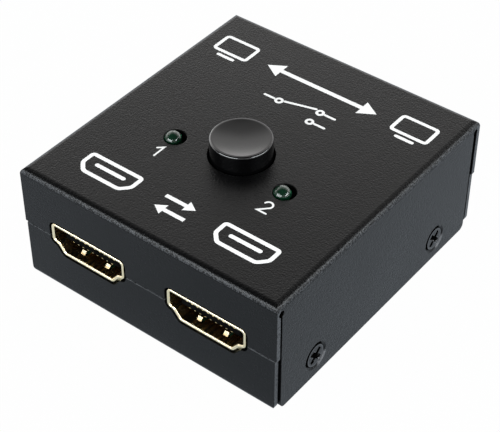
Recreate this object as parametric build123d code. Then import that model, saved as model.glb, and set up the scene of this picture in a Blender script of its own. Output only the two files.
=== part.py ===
from build123d import *
import math
import os

# Two-way video switch box in a folded sheet-metal case.
# Millimetres, +Z up. The origin is the bottom centre of the box, on the plane it stands on.
# The two numbered sockets face -Y, the common socket faces +Y.

# Case, two folded sheets that meet half way up the front and the back
CASE_WIDTH = 50.0
CASE_DEPTH = 54.0
CASE_HEIGHT = 22.0
SHEET = 0.8
BEND_OUTER = 1.2
BEND_INNER = BEND_OUTER - SHEET
SEAM_GAP = 0.15
NEST_GAP = 0.1
SLOT_FRONT = 0.4
SLOT_BACK = 0.9
CORNER_RELIEF = 0.6
PANEL_CORNER = 1.0
LIP_INSET = 0.3
LIP_CORNER = 1.5
BASE_RELIEF = 0.2
FLANGE_LENGTH = 46.0
FLANGE_HEIGHT = 6.5
FLANGE_CORNER = 1.5
HOLE_EDGE = 0.2
SEAM_EDGE = 0.15

# Feet, thin glued pads
FOOT_HEIGHT = 0.6
FOOT_RADIUS = 3.5
FOOT_X = 19.2
FOOT_Y = 21.0
FOOT_EDGE = 0.15

CASE_BOTTOM = FOOT_HEIGHT
CASE_TOP = CASE_BOTTOM + CASE_HEIGHT
SEAM_Z = CASE_BOTTOM + CASE_HEIGHT / 2
INNER_TOP = CASE_TOP - SHEET
FLOOR_TOP = CASE_BOTTOM + SHEET
HALF_W = CASE_WIDTH / 2
HALF_D = CASE_DEPTH / 2
OVERRUN = 1.0
PANEL_FRONT = -(HALF_D - SHEET - SLOT_FRONT)
PANEL_BACK = HALF_D - SHEET - SLOT_BACK
TRAY_HALF_W = HALF_W - SHEET - NEST_GAP
LIP_HALF_W = HALF_W - LIP_INSET

# Case screws, countersunk cross-heads in the two sides
SCREW_Z = CASE_BOTTOM + 4.2
SCREW_Y = (-17.1, 15.9)
SCREW_LENGTH = 4.2
SCREW_RADIUS = 1.2
HEAD_RADIUS = 2.45
HEAD_DEPTH = 0.85
HEAD_SUNK = 0.02
HEAD_EDGE = 0.15
SINK_RADIUS = 2.6
SINK_EDGE = 0.1
SINK_THROUGH = 1.35
THREAD_RADIUS = 1.22
COLLAR_RADIUS = 1.8
COLLAR_LENGTH = 0.9
CROSS_WIDTH = 0.9
CROSS_LENGTH = 3.1
CROSS_FOOT = 1.4
CROSS_DEPTH = 1.2
CROSS_TURN = 45.0

# Video sockets: mouth 14 by 4.55, wide side up
SOCKET_X = 11.8
SOCKET_Z = SEAM_Z
MOUTH_HALF_W = 7.0
MOUTH_HALF_H = 2.275
MOUTH_SIDE = 2.75
SHOULDER_HALF_W = 6.05
SHOULDER_DROP = 0.25
FLOOR_HALF_W = 4.85
MOUTH_CORNER = 0.4
SHOULDER_RADIUS = 1.0
SHELL_WALL = 0.3
SHELL_DEPTH = 11.4
RIM_WIDTH = 0.5
RIM_DEPTH = 0.4
RIM_EDGE = 0.15
CUTOUT_GAP = 0.4
CUTOUT_DROP = 0.12
TONGUE_HALF_W = 5.65
TONGUE_LOW = -0.35
TONGUE_HIGH = 0.75
TONGUE_START = 1.1
TONGUE_EDGE = 0.2
BLOCK_START = 8.6
CONTACT_WIDTH = 0.3
CONTACT_THICK = 0.15
CONTACT_PROUD = 0.04
CONTACT_PITCH = 1.0
CONTACT_START = 1.2
TAIL_START = SHELL_DEPTH + 0.05
TAIL_END = SHELL_DEPTH + 1.2
UPPER_CONTACTS = 10
LOWER_CONTACTS = 9
FINGER_X = 2.55
FINGER_WIDTH = 0.85
FINGER_SLOT = 1.5
FINGER_ROOT = 5.0
FINGER_HOLD = 0.3
FINGER_BEND = 3.3
CREST_BACK = 2.6
CREST_FRONT = 2.05
FINGER_TIP = 1.55
FINGER_RISE = 0.5
FINGER_THICK = 0.2
FINGER_CLEAR = 0.2
LEG_Y = (2.6, 8.6)
LEG_WIDTH = 1.0
LEG_BELOW_BOARD = 0.5

# Circuit board
BOARD_TOP = SOCKET_Z - MOUTH_HALF_H - SHELL_WALL
BOARD_THICK = 1.6
BOARD_BOTTOM = BOARD_TOP - BOARD_THICK
BOARD_HALF_W = 22.5
BOARD_HALF_D = 25.5
BOARD_CORNER = 1.0
HOLE_MARGIN = 0.15
STANDOFF_PLACES = ((-19.5, -9.5), (19.5, -9.5), (-12.5, 22.0), (12.5, 22.0))
STANDOFF_RADIUS = 2.25
SPIGOT_RADIUS = 1.75
STANDOFF_BORE = 1.05
BOARD_SCREW_RADIUS = 1.0
BOARD_SCREW_LENGTH = 4.6
BOARD_SCREW_HEAD = 1.95
BOARD_SCREW_HEAD_HEIGHT = 1.2
BOARD_SCREW_CROSS = 1.9
BOARD_SCREW_SLOT = 0.5
BOARD_HOLE_RADIUS = 1.2

# Indicator lamps
LAMP_X = 10.8
LAMP_Y = -6.45
LAMP_HOLE = 1.85
LAMP_SHIFT = (-0.28, -0.22)
LAMP_RADIUS = 1.45
LAMP_FLANGE = 1.9
LAMP_FLANGE_HEIGHT = 1.0
LAMP_HEIGHT = 5.3
LAMP_PROUD = 1.0
LAMP_FLAT = 1.55
LEAD_WIDTH = 0.5
LEAD_PITCH = 2.54
LEAD_BELOW_BOARD = 0.8

# Push switch and its cap
BUTTON_Y = -3.3
BUTTON_HOLE = 5.3
BUTTON_TRAVEL = 2.2
CAP_RADIUS = 5.05
CAP_PROUD = 3.3
CAP_HEIGHT = 5.0
CAP_EDGE = 0.3
CAP_DISH_RADIUS = 4.55
CAP_DISH_DEPTH = 0.5
CAP_HOLLOW_RADIUS = 4.0
CAP_HOLLOW_DEPTH = 2.6
CAP_BOSS_RADIUS = 2.75
CAP_SOCKET_DEPTH = 3.4
SWITCH_WIDTH = 8.5
SWITCH_HEIGHT = 9.375
SWITCH_WALL = 0.8
SWITCH_EDGE = 0.4
SWITCH_BASE = 1.2
STEM_WIDTH = 3.3
STEM_GAP = 0.15
SLIDER_WIDTH = 5.0
SLIDER_DEPTH = 6.0
SLIDER_HEIGHT = 4.6
SLIDER_GAP = 0.3
SPRING_BORE = 1.5
SPRING_BORE_DEPTH = 3.2
SPRING_RADIUS = 1.15
SPRING_WIRE = 0.15
SPRING_TURNS = 6
SPRING_PEG_RADIUS = 0.7
SPRING_PEG_HEIGHT = 0.9
WIRE_RADIUS = 0.25
WIRE_GAP = 0.05
WIRE_X = 2.98
WIRE_BEND = 0.45
WIRE_PIVOT_RISE = 0.575
WIRE_TIP_GAP = 0.2
PIVOT_END = 0.15
PIVOT_HOLE_END = 0.1
WIRE_SWING = math.radians(7.16)
WIRE_LENGTH = 3.15
CAM_DEPTH = 0.7
CAM_HALF_W = 0.95
CAM_MARGIN = 0.55
CAM_CORNER = 0.25
ISLAND = ((0.30, 0.10), (0.62, 0.10), (0.72, 1.15), (0.58, 1.15))
CLIP_WIDTH = 4.6
CLIP_HEIGHT = 1.6
CLIP_THICK = 0.2
CLIP_DROP = 1.9
TERMINAL_X = (-2.3, 0.0, 2.3)
TERMINAL_TOPS = (6.2, 5.4, 2.8)
TERMINAL_WIDTH = 0.9
TERMINAL_THICK = 0.2
PIN_WIDTH = 0.5
PIN_BELOW_BOARD = 0.8

LAMP_TOP = CASE_TOP + LAMP_PROUD
CAP_TOP = CASE_TOP + CAP_PROUD
CAP_BOTTOM = CAP_TOP - CAP_HEIGHT
SWITCH_TOP = BOARD_TOP + SWITCH_HEIGHT
SWITCH_INNER = SWITCH_WIDTH / 2 - SWITCH_WALL
BASE_TOP = BOARD_TOP + SWITCH_BASE
SLIDER_TOP = SWITCH_TOP - SWITCH_WALL - SLIDER_GAP
SLIDER_BOTTOM = SLIDER_TOP - SLIDER_HEIGHT
PIVOT_Z = BASE_TOP + WIRE_PIVOT_RISE
WIRE_TIP_Y = -WIRE_LENGTH * math.sin(WIRE_SWING)
WIRE_TIP_Z = PIVOT_Z + WIRE_LENGTH * math.cos(WIRE_SWING)

# Small parts on the board
CHIP_SIZE = (7.0, 7.0, 0.85)
CHIP_PLACE = (0.0, 7.6)
CHIP_EDGE = 0.1
CHIP_DOT = 0.4
CHIP_DOT_INSET = 1.2
ARRAY_SIZE = (2.5, 1.0, 0.55)
ARRAY_X = 3.0
ARRAY_BEHIND = 14.4
DIODE_SIZE = (1.7, 1.25, 0.9)
DIODE_PLACES = ((-16.5, -3.0), (16.5, -3.0), (8.5, 15.0))
REGULATOR_SIZE = (2.9, 1.3, 1.1)
REGULATOR_PLACE = (12.5, 8.0)
REGULATOR_LEADS = ((-0.95, -1), (0.95, -1), (0.0, 1))
TAB_WIDTH = 0.4
TAB_REACH = 0.5
TAB_THICK = 0.15
CHIP_PART_SIZE = (1.6, 0.8)
CAPACITOR_HEIGHT = 0.8
RESISTOR_HEIGHT = 0.45
END_CAP = 0.3
END_CAP_PROUD = 0.03
CAPACITOR_BESIDE = 1.6
CAPACITOR_STEP = 2.4
REGULATOR_CAPACITORS = ((-1.8, 4.4), (1.8, 4.4))
LAMP_CAPACITOR = (16.5, 0.4)
RESISTOR_ROW = 6
RESISTOR_ROW_Y = 2.5
RESISTOR_STEP = 2.6
LAMP_RESISTOR_X = 15.0


def block(x_low, x_high, y_low, y_high, z_low, z_high):
    """A box between two corners."""
    size = (x_high - x_low, y_high - y_low, z_high - z_low)
    middle = ((x_low + x_high) / 2, (y_low + y_high) / 2, (z_low + z_high) / 2)
    return Pos(*middle) * Box(*size)


def centred(x, y, z_low, width, depth, height):
    """A box on a point, by its width, depth and height."""
    return Pos(x, y, z_low + height / 2) * Box(width, depth, height)


def rod(x, y, z_low, z_high, radius):
    """An upright cylinder."""
    return Pos(x, y, (z_low + z_high) / 2) * Cylinder(radius, z_high - z_low)


def cross_rod(x_low, x_high, y, z, radius):
    """A cylinder along X."""
    return Pos((x_low + x_high) / 2, y, z) * Rot(0, 90, 0) * Cylinder(radius, x_high - x_low)


def is_mouth_corner(vertex):
    """Whether a point of the mouth's outline is one of its six outward corners."""
    side_end = MOUTH_HALF_H - MOUTH_SIDE
    across = abs(vertex.X)
    at_side = math.isclose(across, MOUTH_HALF_W) and vertex.Z > side_end - 0.01
    at_floor = math.isclose(across, FLOOR_HALF_W) and vertex.Z < 0
    return at_side or at_floor


def mouth_face(grow=0.0):
    """The socket mouth's outline, facing -Y, moved outward by grow."""
    side_end = MOUTH_HALF_H - MOUTH_SIDE
    right = [
        (MOUTH_HALF_W, MOUTH_HALF_H),
        (MOUTH_HALF_W, side_end),
        (SHOULDER_HALF_W, side_end - SHOULDER_DROP),
        (FLOOR_HALF_W, -MOUTH_HALF_H),
    ]
    left = [(-x, z) for x, z in reversed(right)]
    face = Plane.XZ * make_face(Polyline(*right, *left, close=True))
    shoulders = face.vertices().group_by(Axis.Z)[1]
    face = fillet(shoulders, SHOULDER_RADIUS)
    corners = [v for v in face.vertices() if is_mouth_corner(v)]
    face = fillet(corners, MOUTH_CORNER)
    if grow == 0.0:
        return face
    return offset(face, amount=grow)


def inward(face, depth):
    """A face of the XZ plane pushed towards +Y."""
    return extrude(face, amount=-depth)


def socket_places():
    """Where the three sockets stand: the two in front, then the common one behind."""
    return {
        "socket_1": Pos(-SOCKET_X, -HALF_D, SOCKET_Z),
        "socket_2": Pos(SOCKET_X, -HALF_D, SOCKET_Z),
        "common_socket": Pos(0, HALF_D, SOCKET_Z) * Rot(0, 0, 180),
    }


def screw_sites():
    """Side, height along the side, for the four case screws."""
    return [(side, y) for side in (-1, 1) for y in SCREW_Y]


def lead_sites():
    """The four lamp leads' places."""
    shift_x, shift_y = LAMP_SHIFT
    return [
        (side * LAMP_X + shift_x + offset_x, LAMP_Y + shift_y)
        for side in (-1, 1)
        for offset_x in (-LEAD_PITCH / 2, LEAD_PITCH / 2)
    ]


def terminal_sites():
    """Side, place and top of each switch terminal."""
    return [(side, x, top) for side in (-1, 1) for x, top in zip(TERMINAL_X, TERMINAL_TOPS)]


def cutouts():
    """The three holes that the socket rims stand in, a little low for easy fitting."""
    hole = Pos(0, -SHEET, -CUTOUT_DROP) * inward(mouth_face(RIM_WIDTH + CUTOUT_GAP), 3 * SHEET)
    return [place * hole for place in socket_places().values()]


def countersinks():
    """The sunk holes for the case screws, cones that narrow inward."""
    sinks = []
    for side, y in screw_sites():
        cone = Cone(SINK_THROUGH, SINK_RADIUS, SHEET)
        sinks.append(Pos(side * (HALF_W - SHEET / 2), y, SCREW_Z) * Rot(0, side * 90, 0) * cone)
    return sinks


def round_seam(sheet, seam_z):
    """Round the outer edges of a sheet's front and back lips where they meet the other sheet."""
    across = sheet.edges().filter_by(Axis.X)
    level = [e for e in across if math.isclose(e.center().Z, seam_z)]
    return fillet([e for e in level if math.isclose(abs(e.center().Y), HALF_D)], SEAM_EDGE)


def make_top_cover():
    """Top, two full sides, and half-height front and back lips."""
    outer = block(-HALF_W, HALF_W, -HALF_D, HALF_D, CASE_BOTTOM, CASE_TOP)
    outer = fillet(outer.edges().group_by(Axis.Z)[-1], BEND_OUTER)
    in_w = HALF_W - SHEET
    in_d = HALF_D - SHEET
    inner = block(-in_w, in_w, -in_d, in_d, CASE_BOTTOM - OVERRUN, INNER_TOP)
    inner = fillet(inner.edges().group_by(Axis.Z)[-1], BEND_INNER)
    cover = outer - inner
    lip_end = SEAM_Z + SEAM_GAP / 2
    cover -= block(-CASE_WIDTH, CASE_WIDTH, -CASE_DEPTH, PANEL_FRONT, 0, lip_end)
    cover -= block(-CASE_WIDTH, CASE_WIDTH, PANEL_BACK, CASE_DEPTH, 0, lip_end)
    relief_z = CASE_TOP - BEND_OUTER - CORNER_RELIEF
    for side in (-1, 1):
        x_low, x_high = sorted((side * in_w, side * CASE_WIDTH))
        cover -= block(x_low, x_high, -in_d, PANEL_FRONT, 0, relief_z)
        cover -= block(x_low, x_high, PANEL_BACK, in_d, 0, relief_z)
        for y in ((PANEL_FRONT - in_d) / 2, (PANEL_BACK + in_d) / 2):
            cover -= cross_rod(x_low, x_high, y, relief_z, CORNER_RELIEF)
    low_ends = cover.edges().filter_by(Axis.X).group_by(Axis.Z)[0]
    cover = fillet(low_ends, PANEL_CORNER)
    cover = round_seam(cover, lip_end)
    low, high = INNER_TOP - OVERRUN, CASE_TOP + OVERRUN
    cover -= rod(0, BUTTON_Y, low, high, BUTTON_HOLE)
    for side in (-1, 1):
        cover -= rod(side * LAMP_X, LAMP_Y, low, high, LAMP_HOLE)
    rims = cover.edges().filter_by(GeomType.CIRCLE).group_by(Axis.Z)[-1]
    cover = fillet(rims, HOLE_EDGE)
    for tool in cutouts() + countersinks():
        cover -= tool
    circles = cover.edges().filter_by(GeomType.CIRCLE)
    sunk_rims = [e for e in circles if math.isclose(e.radius, SINK_RADIUS)]
    return fillet(sunk_rims, SINK_EDGE)


def make_bottom_tray():
    """Floor, half-height front and back lips, and two side flanges for the case screws."""
    lip_top = SEAM_Z - SEAM_GAP / 2
    outer = block(-LIP_HALF_W, LIP_HALF_W, -HALF_D, HALF_D, CASE_BOTTOM, lip_top)
    outer = fillet(outer.edges().filter_by(Axis.X).group_by(Axis.Z)[0], BEND_OUTER)
    in_d = HALF_D - SHEET
    inner = block(-CASE_WIDTH, CASE_WIDTH, -in_d, in_d, FLOOR_TOP, CASE_TOP)
    inner = fillet(inner.edges().filter_by(Axis.X).group_by(Axis.Z)[0], BEND_INNER)
    tray = outer - inner
    front_shape = block(-LIP_HALF_W, LIP_HALF_W, -CASE_DEPTH, CASE_DEPTH, CASE_BOTTOM, CASE_TOP)
    low_corners = front_shape.edges().filter_by(Axis.Y).group_by(Axis.Z)[0]
    tray &= fillet(low_corners, LIP_CORNER)
    relief = in_d - BASE_RELIEF
    bend_start = TRAY_HALF_W - BEND_OUTER
    for side in (-1, 1):
        x_low, x_high = sorted((side * TRAY_HALF_W, side * CASE_WIDTH))
        tray -= block(x_low, x_high, -relief, relief, 0, CASE_TOP)
        x_low, x_high = sorted((side * bend_start, side * CASE_WIDTH))
        tray -= block(x_low, x_high, -FLANGE_LENGTH / 2, FLANGE_LENGTH / 2, 0, CASE_TOP)
    tray += make_flanges()
    tray = round_seam(tray, lip_top)
    for side, y in screw_sites():
        x_low, x_high = sorted((side * BOARD_HALF_W / 2, side * CASE_WIDTH))
        tray -= cross_rod(x_low, x_high, y, SCREW_Z, THREAD_RADIUS)
    for x, y in STANDOFF_PLACES:
        tray -= rod(x, y, 0, FLOOR_TOP + OVERRUN, SPIGOT_RADIUS)
    for tool in cutouts():
        tray -= tool
    return tray


def make_flanges():
    """The tray's upturned sides, with a drawn collar for each case screw."""
    half = FLANGE_LENGTH / 2
    flange_top = CASE_BOTTOM + FLANGE_HEIGHT
    in_w = TRAY_HALF_W - SHEET
    outer = block(-TRAY_HALF_W, TRAY_HALF_W, -half, half, CASE_BOTTOM, flange_top)
    outer = fillet(outer.edges().filter_by(Axis.Y).group_by(Axis.Z)[0], BEND_OUTER)
    inner = block(-in_w, in_w, -half - OVERRUN, half + OVERRUN, FLOOR_TOP, flange_top + OVERRUN)
    inner = fillet(inner.edges().filter_by(Axis.Y).group_by(Axis.Z)[0], BEND_INNER)
    flanges = outer - inner
    top_ends = flanges.edges().filter_by(Axis.X).group_by(Axis.Z)[-1]
    flanges = fillet(top_ends, FLANGE_CORNER)
    for side, y in screw_sites():
        x_low, x_high = sorted((side * (in_w - COLLAR_LENGTH), side * in_w))
        flanges += cross_rod(x_low, x_high, y, SCREW_Z, COLLAR_RADIUS)
    return flanges


def make_case_screws():
    """Countersunk screws with a cross recess, two in each side."""
    shank = Pos(0, 0, -(SCREW_LENGTH + HEAD_DEPTH) / 2) * Cylinder(SCREW_RADIUS, SCREW_LENGTH - HEAD_DEPTH)
    head = Pos(0, 0, -HEAD_DEPTH / 2) * Cone(SCREW_RADIUS, HEAD_RADIUS, HEAD_DEPTH)
    head = fillet(head.edges().group_by(Axis.Z)[-1], HEAD_EDGE)
    screw = shank + head
    recess = Pos(0, 0, -CROSS_DEPTH / 2) * Box(CROSS_WIDTH, CROSS_LENGTH, CROSS_DEPTH)
    recess += Pos(0, 0, -CROSS_DEPTH / 2) * Box(CROSS_LENGTH, CROSS_WIDTH, CROSS_DEPTH)
    taper = Pos(0, 0, -CROSS_DEPTH / 2) * Cone(CROSS_FOOT / 2, CROSS_LENGTH / 2, CROSS_DEPTH)
    screw -= Rot(0, 0, CROSS_TURN) * (recess & taper)
    head_x = HALF_W - HEAD_SUNK
    return [Pos(side * head_x, y, SCREW_Z) * Rot(0, side * 90, 0) * screw for side, y in screw_sites()]


def make_rubber_feet():
    """Four thin round pads under the tray."""
    pad = rod(0, 0, 0, FOOT_HEIGHT, FOOT_RADIUS)
    pad = fillet(pad.edges().group_by(Axis.Z)[0], FOOT_EDGE)
    return [Pos(x, y, 0) * pad for x in (-FOOT_X, FOOT_X) for y in (-FOOT_Y, FOOT_Y)]


def make_board():
    """The circuit board with its drilled and slotted holes."""
    board = block(-BOARD_HALF_W, BOARD_HALF_W, -BOARD_HALF_D, BOARD_HALF_D, BOARD_BOTTOM, BOARD_TOP)
    board = fillet(board.edges().filter_by(Axis.Z), BOARD_CORNER)
    low, high = BOARD_BOTTOM - OVERRUN, BOARD_TOP + OVERRUN
    leg_slot = SHELL_WALL + 2 * HOLE_MARGIN
    for place in socket_places().values():
        for side in (-1, 1):
            for y in LEG_Y:
                x = side * (MOUTH_HALF_W + SHELL_WALL / 2)
                slot = Box(leg_slot, LEG_WIDTH + 2 * HOLE_MARGIN, 4 * BOARD_THICK)
                board -= place * Pos(x, y + LEG_WIDTH / 2, BOARD_TOP - SOCKET_Z) * slot
    for x, y in STANDOFF_PLACES:
        board -= rod(x, y, low, high, BOARD_HOLE_RADIUS)
    for x, y in lead_sites():
        board -= rod(x, y, low, high, LEAD_WIDTH / 2 + 2 * HOLE_MARGIN)
    for side, x, _ in terminal_sites():
        y = BUTTON_Y + side * (SWITCH_INNER - TERMINAL_THICK / 2)
        hole = (PIN_WIDTH + 2 * HOLE_MARGIN, TERMINAL_THICK + 2 * HOLE_MARGIN)
        board -= centred(x, y, low, *hole, high - low)
    return board


def make_standoffs():
    """Pillars riveted into the floor, with a threaded bore for the board's screws."""
    pillars = []
    for x, y in STANDOFF_PLACES:
        pillar = rod(x, y, FLOOR_TOP, BOARD_BOTTOM, STANDOFF_RADIUS)
        pillar += rod(x, y, CASE_BOTTOM, FLOOR_TOP, SPIGOT_RADIUS)
        pillars.append(pillar - rod(x, y, FLOOR_TOP, BOARD_BOTTOM + OVERRUN, STANDOFF_BORE))
    return pillars


def make_board_screws():
    """Pan-head screws that hold the board on its pillars."""
    screws = []
    for x, y in STANDOFF_PLACES:
        head_top = BOARD_TOP + BOARD_SCREW_HEAD_HEIGHT
        head = rod(x, y, BOARD_TOP, head_top, BOARD_SCREW_HEAD)
        head = fillet(head.edges().group_by(Axis.Z)[-1], BOARD_SCREW_HEAD_HEIGHT / 2)
        screw = head + rod(x, y, BOARD_TOP - BOARD_SCREW_LENGTH, BOARD_TOP, BOARD_SCREW_RADIUS)
        slot_floor = head_top - BOARD_SCREW_HEAD_HEIGHT / 2
        screw -= centred(x, y, slot_floor, BOARD_SCREW_SLOT, BOARD_SCREW_CROSS, OVERRUN)
        screw -= centred(x, y, slot_floor, BOARD_SCREW_CROSS, BOARD_SCREW_SLOT, OVERRUN)
        screws.append(screw)
    return screws


def strip_along_y(points, thickness, width):
    """A bent strip of sheet: a centre line in Y and Z, made thick, then given its width in X."""
    line = Polyline(*[(y, z) for y, z in points])
    face = make_face(offset(line, amount=thickness / 2, side=Side.BOTH))
    return extrude(Plane.YZ * face, amount=width / 2, both=True)


def make_finger(up):
    """A sprung finger in the shell's floor (up is 1) or roof (up is -1)."""
    wall = -(MOUTH_HALF_H + SHELL_WALL / 2)
    crest = wall + FINGER_RISE
    line = [
        (FINGER_ROOT + FINGER_HOLD, wall),
        (FINGER_BEND, wall),
        (CREST_BACK, crest),
        (CREST_FRONT, crest),
        (FINGER_TIP, wall),
    ]
    return strip_along_y([(y, up * z) for y, z in line], FINGER_THICK, FINGER_WIDTH)


def make_socket_shell():
    """The folded metal shell with its flared rim, four sprung fingers and four legs."""
    shell = inward(mouth_face(SHELL_WALL), SHELL_DEPTH) + inward(mouth_face(RIM_WIDTH), RIM_DEPTH)
    shell = fillet(shell.edges().group_by(Axis.Y)[0], RIM_EDGE)
    shell -= inward(mouth_face(), SHELL_DEPTH)
    shell = chamfer(shell.edges().group_by(Axis.Y)[0], RIM_EDGE)
    for x in (-FINGER_X, FINGER_X):
        for up in (-1, 1):
            wall = -up * (MOUTH_HALF_H + SHELL_WALL / 2)
            slot_length = FINGER_ROOT - FINGER_TIP + FINGER_CLEAR
            slot = Box(FINGER_SLOT, slot_length, 2 * SHELL_WALL)
            shell -= Pos(x, FINGER_ROOT - slot_length / 2, wall) * slot
            shell += Pos(x, 0, 0) * make_finger(up)
    leg_end = BOARD_BOTTOM - LEG_BELOW_BOARD - SOCKET_Z
    for side in (-1, 1):
        for y in LEG_Y:
            x = side * (MOUTH_HALF_W + SHELL_WALL / 2)
            shell += centred(x, y + LEG_WIDTH / 2, leg_end, SHELL_WALL, LEG_WIDTH, -leg_end)
    return shell


def contact_profile(level):
    """A contact's side view: along the tongue, down behind the block, and out on to the board."""
    foot = BOARD_TOP - SOCKET_Z
    thick = CONTACT_THICK
    outline = Polyline(
        (CONTACT_START, level),
        (TAIL_START + thick, level),
        (TAIL_START + thick, foot + thick),
        (TAIL_END, foot + thick),
        (TAIL_END, foot),
        (TAIL_START, foot),
        (TAIL_START, level - thick),
        (CONTACT_START, level - thick),
        close=True,
    )
    return extrude(Plane.YZ * make_face(outline), amount=CONTACT_WIDTH / 2, both=True)


def make_contacts():
    """One row of contacts on the tongue's upper face and one on its lower face."""
    upper = contact_profile(TONGUE_HIGH + CONTACT_PROUD)
    lower = contact_profile(TONGUE_LOW - CONTACT_PROUD + CONTACT_THICK)
    rows = ((upper, UPPER_CONTACTS), (lower, LOWER_CONTACTS))
    return [
        Pos((place - (count - 1) / 2) * CONTACT_PITCH, 0, 0) * contact
        for contact, count in rows
        for place in range(count)
    ]


def make_insulator():
    """The black tongue and the block that fills the back of the shell."""
    tongue = block(-TONGUE_HALF_W, TONGUE_HALF_W, TONGUE_START, BLOCK_START, TONGUE_LOW, TONGUE_HIGH)
    tongue = chamfer(tongue.edges().group_by(Axis.Y)[0], TONGUE_EDGE)
    rear = Pos(0, BLOCK_START, 0) * inward(mouth_face(), SHELL_DEPTH - BLOCK_START)
    insulator = tongue + rear
    for contact in make_contacts():
        insulator -= contact
    return insulator


def make_lamp():
    """A round-nosed lamp, its foot at the origin."""
    shoulder = LAMP_HEIGHT - LAMP_RADIUS
    slant = LAMP_RADIUS * math.sqrt(0.5)
    outline = Polyline(
        (0, shoulder + LAMP_RADIUS),
        (0, 0),
        (LAMP_FLANGE, 0),
        (LAMP_FLANGE, LAMP_FLANGE_HEIGHT),
        (LAMP_RADIUS, LAMP_FLANGE_HEIGHT),
        (LAMP_RADIUS, shoulder),
    )
    nose = ThreePointArc((LAMP_RADIUS, shoulder), (slant, shoulder + slant), (0, shoulder + LAMP_RADIUS))
    lamp = revolve(Plane.XZ * make_face(outline + nose), axis=Axis.Z)
    return lamp - block(LAMP_FLAT, LAMP_FLANGE, -LAMP_FLANGE, LAMP_FLANGE, 0, LAMP_FLANGE_HEIGHT)


def place_lamp(side):
    """A lamp that stands slightly out of the cover's hole, on the given side."""
    shift_x, shift_y = LAMP_SHIFT
    return Pos(side * LAMP_X + shift_x, LAMP_Y + shift_y, LAMP_TOP - LAMP_HEIGHT) * make_lamp()


def make_lamp_leads():
    """Square wire leads from the lamps through the board."""
    low = BOARD_BOTTOM - LEAD_BELOW_BOARD
    high = LAMP_TOP - LAMP_HEIGHT
    return [centred(x, y, low, LEAD_WIDTH, LEAD_WIDTH, high - low) for x, y in lead_sites()]


def make_terminals():
    """Six flat terminals inside the switch, of three heights, with pins through the board."""
    terminals = []
    low = BOARD_BOTTOM - PIN_BELOW_BOARD
    for side, x, top in terminal_sites():
        y = BUTTON_Y + side * (SWITCH_INNER - TERMINAL_THICK / 2)
        strip = centred(x, y, BOARD_TOP, TERMINAL_WIDTH, TERMINAL_THICK, SWITCH_BASE + top)
        strip += centred(x, y, low, PIN_WIDTH, TERMINAL_THICK, BOARD_TOP - low)
        terminals.append(strip)
    return terminals


def make_switch_base():
    """The plate that closes the switch below, with a peg for the spring."""
    base = centred(0, BUTTON_Y, BOARD_TOP, 2 * SWITCH_INNER, 2 * SWITCH_INNER, SWITCH_BASE)
    base += rod(0, BUTTON_Y, BASE_TOP, BASE_TOP + SPRING_PEG_HEIGHT, SPRING_PEG_RADIUS)
    for terminal in make_terminals():
        base -= terminal
    return base


def make_switch_housing():
    """The switch's square box, open below, with a hole for the stem and one for the latch wire."""
    housing = centred(0, BUTTON_Y, BOARD_TOP, SWITCH_WIDTH, SWITCH_WIDTH, SWITCH_HEIGHT)
    housing = fillet(housing.edges().filter_by(Axis.Z), SWITCH_EDGE)
    cavity = SWITCH_HEIGHT - SWITCH_WALL
    housing -= centred(0, BUTTON_Y, BOARD_TOP, 2 * SWITCH_INNER, 2 * SWITCH_INNER, cavity)
    stem_hole = STEM_WIDTH + 2 * STEM_GAP
    housing -= centred(0, BUTTON_Y, BOARD_TOP, stem_hole, stem_hole, SWITCH_HEIGHT)
    pivot_end = SWITCH_WIDTH / 2 - PIVOT_HOLE_END
    housing -= cross_rod(SWITCH_INNER, pivot_end, BUTTON_Y, PIVOT_Z, WIRE_RADIUS + WIRE_GAP)
    return housing


def make_cam_groove():
    """The groove that the latch wire's tip runs in, around a small island."""
    face_x = SLIDER_WIDTH / 2
    floor_x = face_x - CAM_DEPTH
    low = WIRE_TIP_Z - CAM_MARGIN
    high = WIRE_TIP_Z + BUTTON_TRAVEL + CAM_MARGIN
    groove = block(floor_x, face_x + OVERRUN, -CAM_HALF_W, CAM_HALF_W, low, high)
    groove = fillet(groove.edges().filter_by(Axis.X), CAM_CORNER)
    outline = Polyline(*[(y, WIRE_TIP_Z + rise) for y, rise in ISLAND], close=True)
    island = Pos(floor_x, 0, 0) * extrude(Plane.YZ * make_face(outline), amount=CAM_DEPTH + OVERRUN)
    return Pos(0, BUTTON_Y, 0) * (groove - island)


def make_plunger():
    """The sliding block with its square stem, spring bore and latch groove."""
    slider = centred(0, BUTTON_Y, SLIDER_BOTTOM, SLIDER_WIDTH, SLIDER_DEPTH, SLIDER_HEIGHT)
    stem_top = CAP_BOTTOM + CAP_SOCKET_DEPTH
    slider += centred(0, BUTTON_Y, SLIDER_TOP, STEM_WIDTH, STEM_WIDTH, stem_top - SLIDER_TOP)
    slider -= rod(0, BUTTON_Y, SLIDER_BOTTOM, SLIDER_BOTTOM + SPRING_BORE_DEPTH, SPRING_BORE)
    return slider - make_cam_groove()


def make_contact_clips():
    """Two flat clips on the slider's faces, which bridge the terminals."""
    clips = []
    low = SLIDER_TOP - CLIP_DROP - CLIP_HEIGHT
    for side in (-1, 1):
        y = BUTTON_Y + side * (SLIDER_DEPTH + CLIP_THICK) / 2
        clips.append(centred(0, y, low, CLIP_WIDTH, CLIP_THICK, CLIP_HEIGHT))
    return clips


def make_return_spring():
    """The coil under the slider, from the base to the end of the bore."""
    bottom = BASE_TOP + SPRING_WIRE
    top = SLIDER_BOTTOM + SPRING_BORE_DEPTH - SPRING_WIRE
    pitch = (top - bottom) / SPRING_TURNS
    path = Helix(pitch=pitch, height=top - bottom, radius=SPRING_RADIUS)
    start = Plane(origin=path @ 0, z_dir=path % 0)
    return Pos(0, BUTTON_Y, bottom) * sweep(start * Circle(SPRING_WIRE), path=path)


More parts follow.
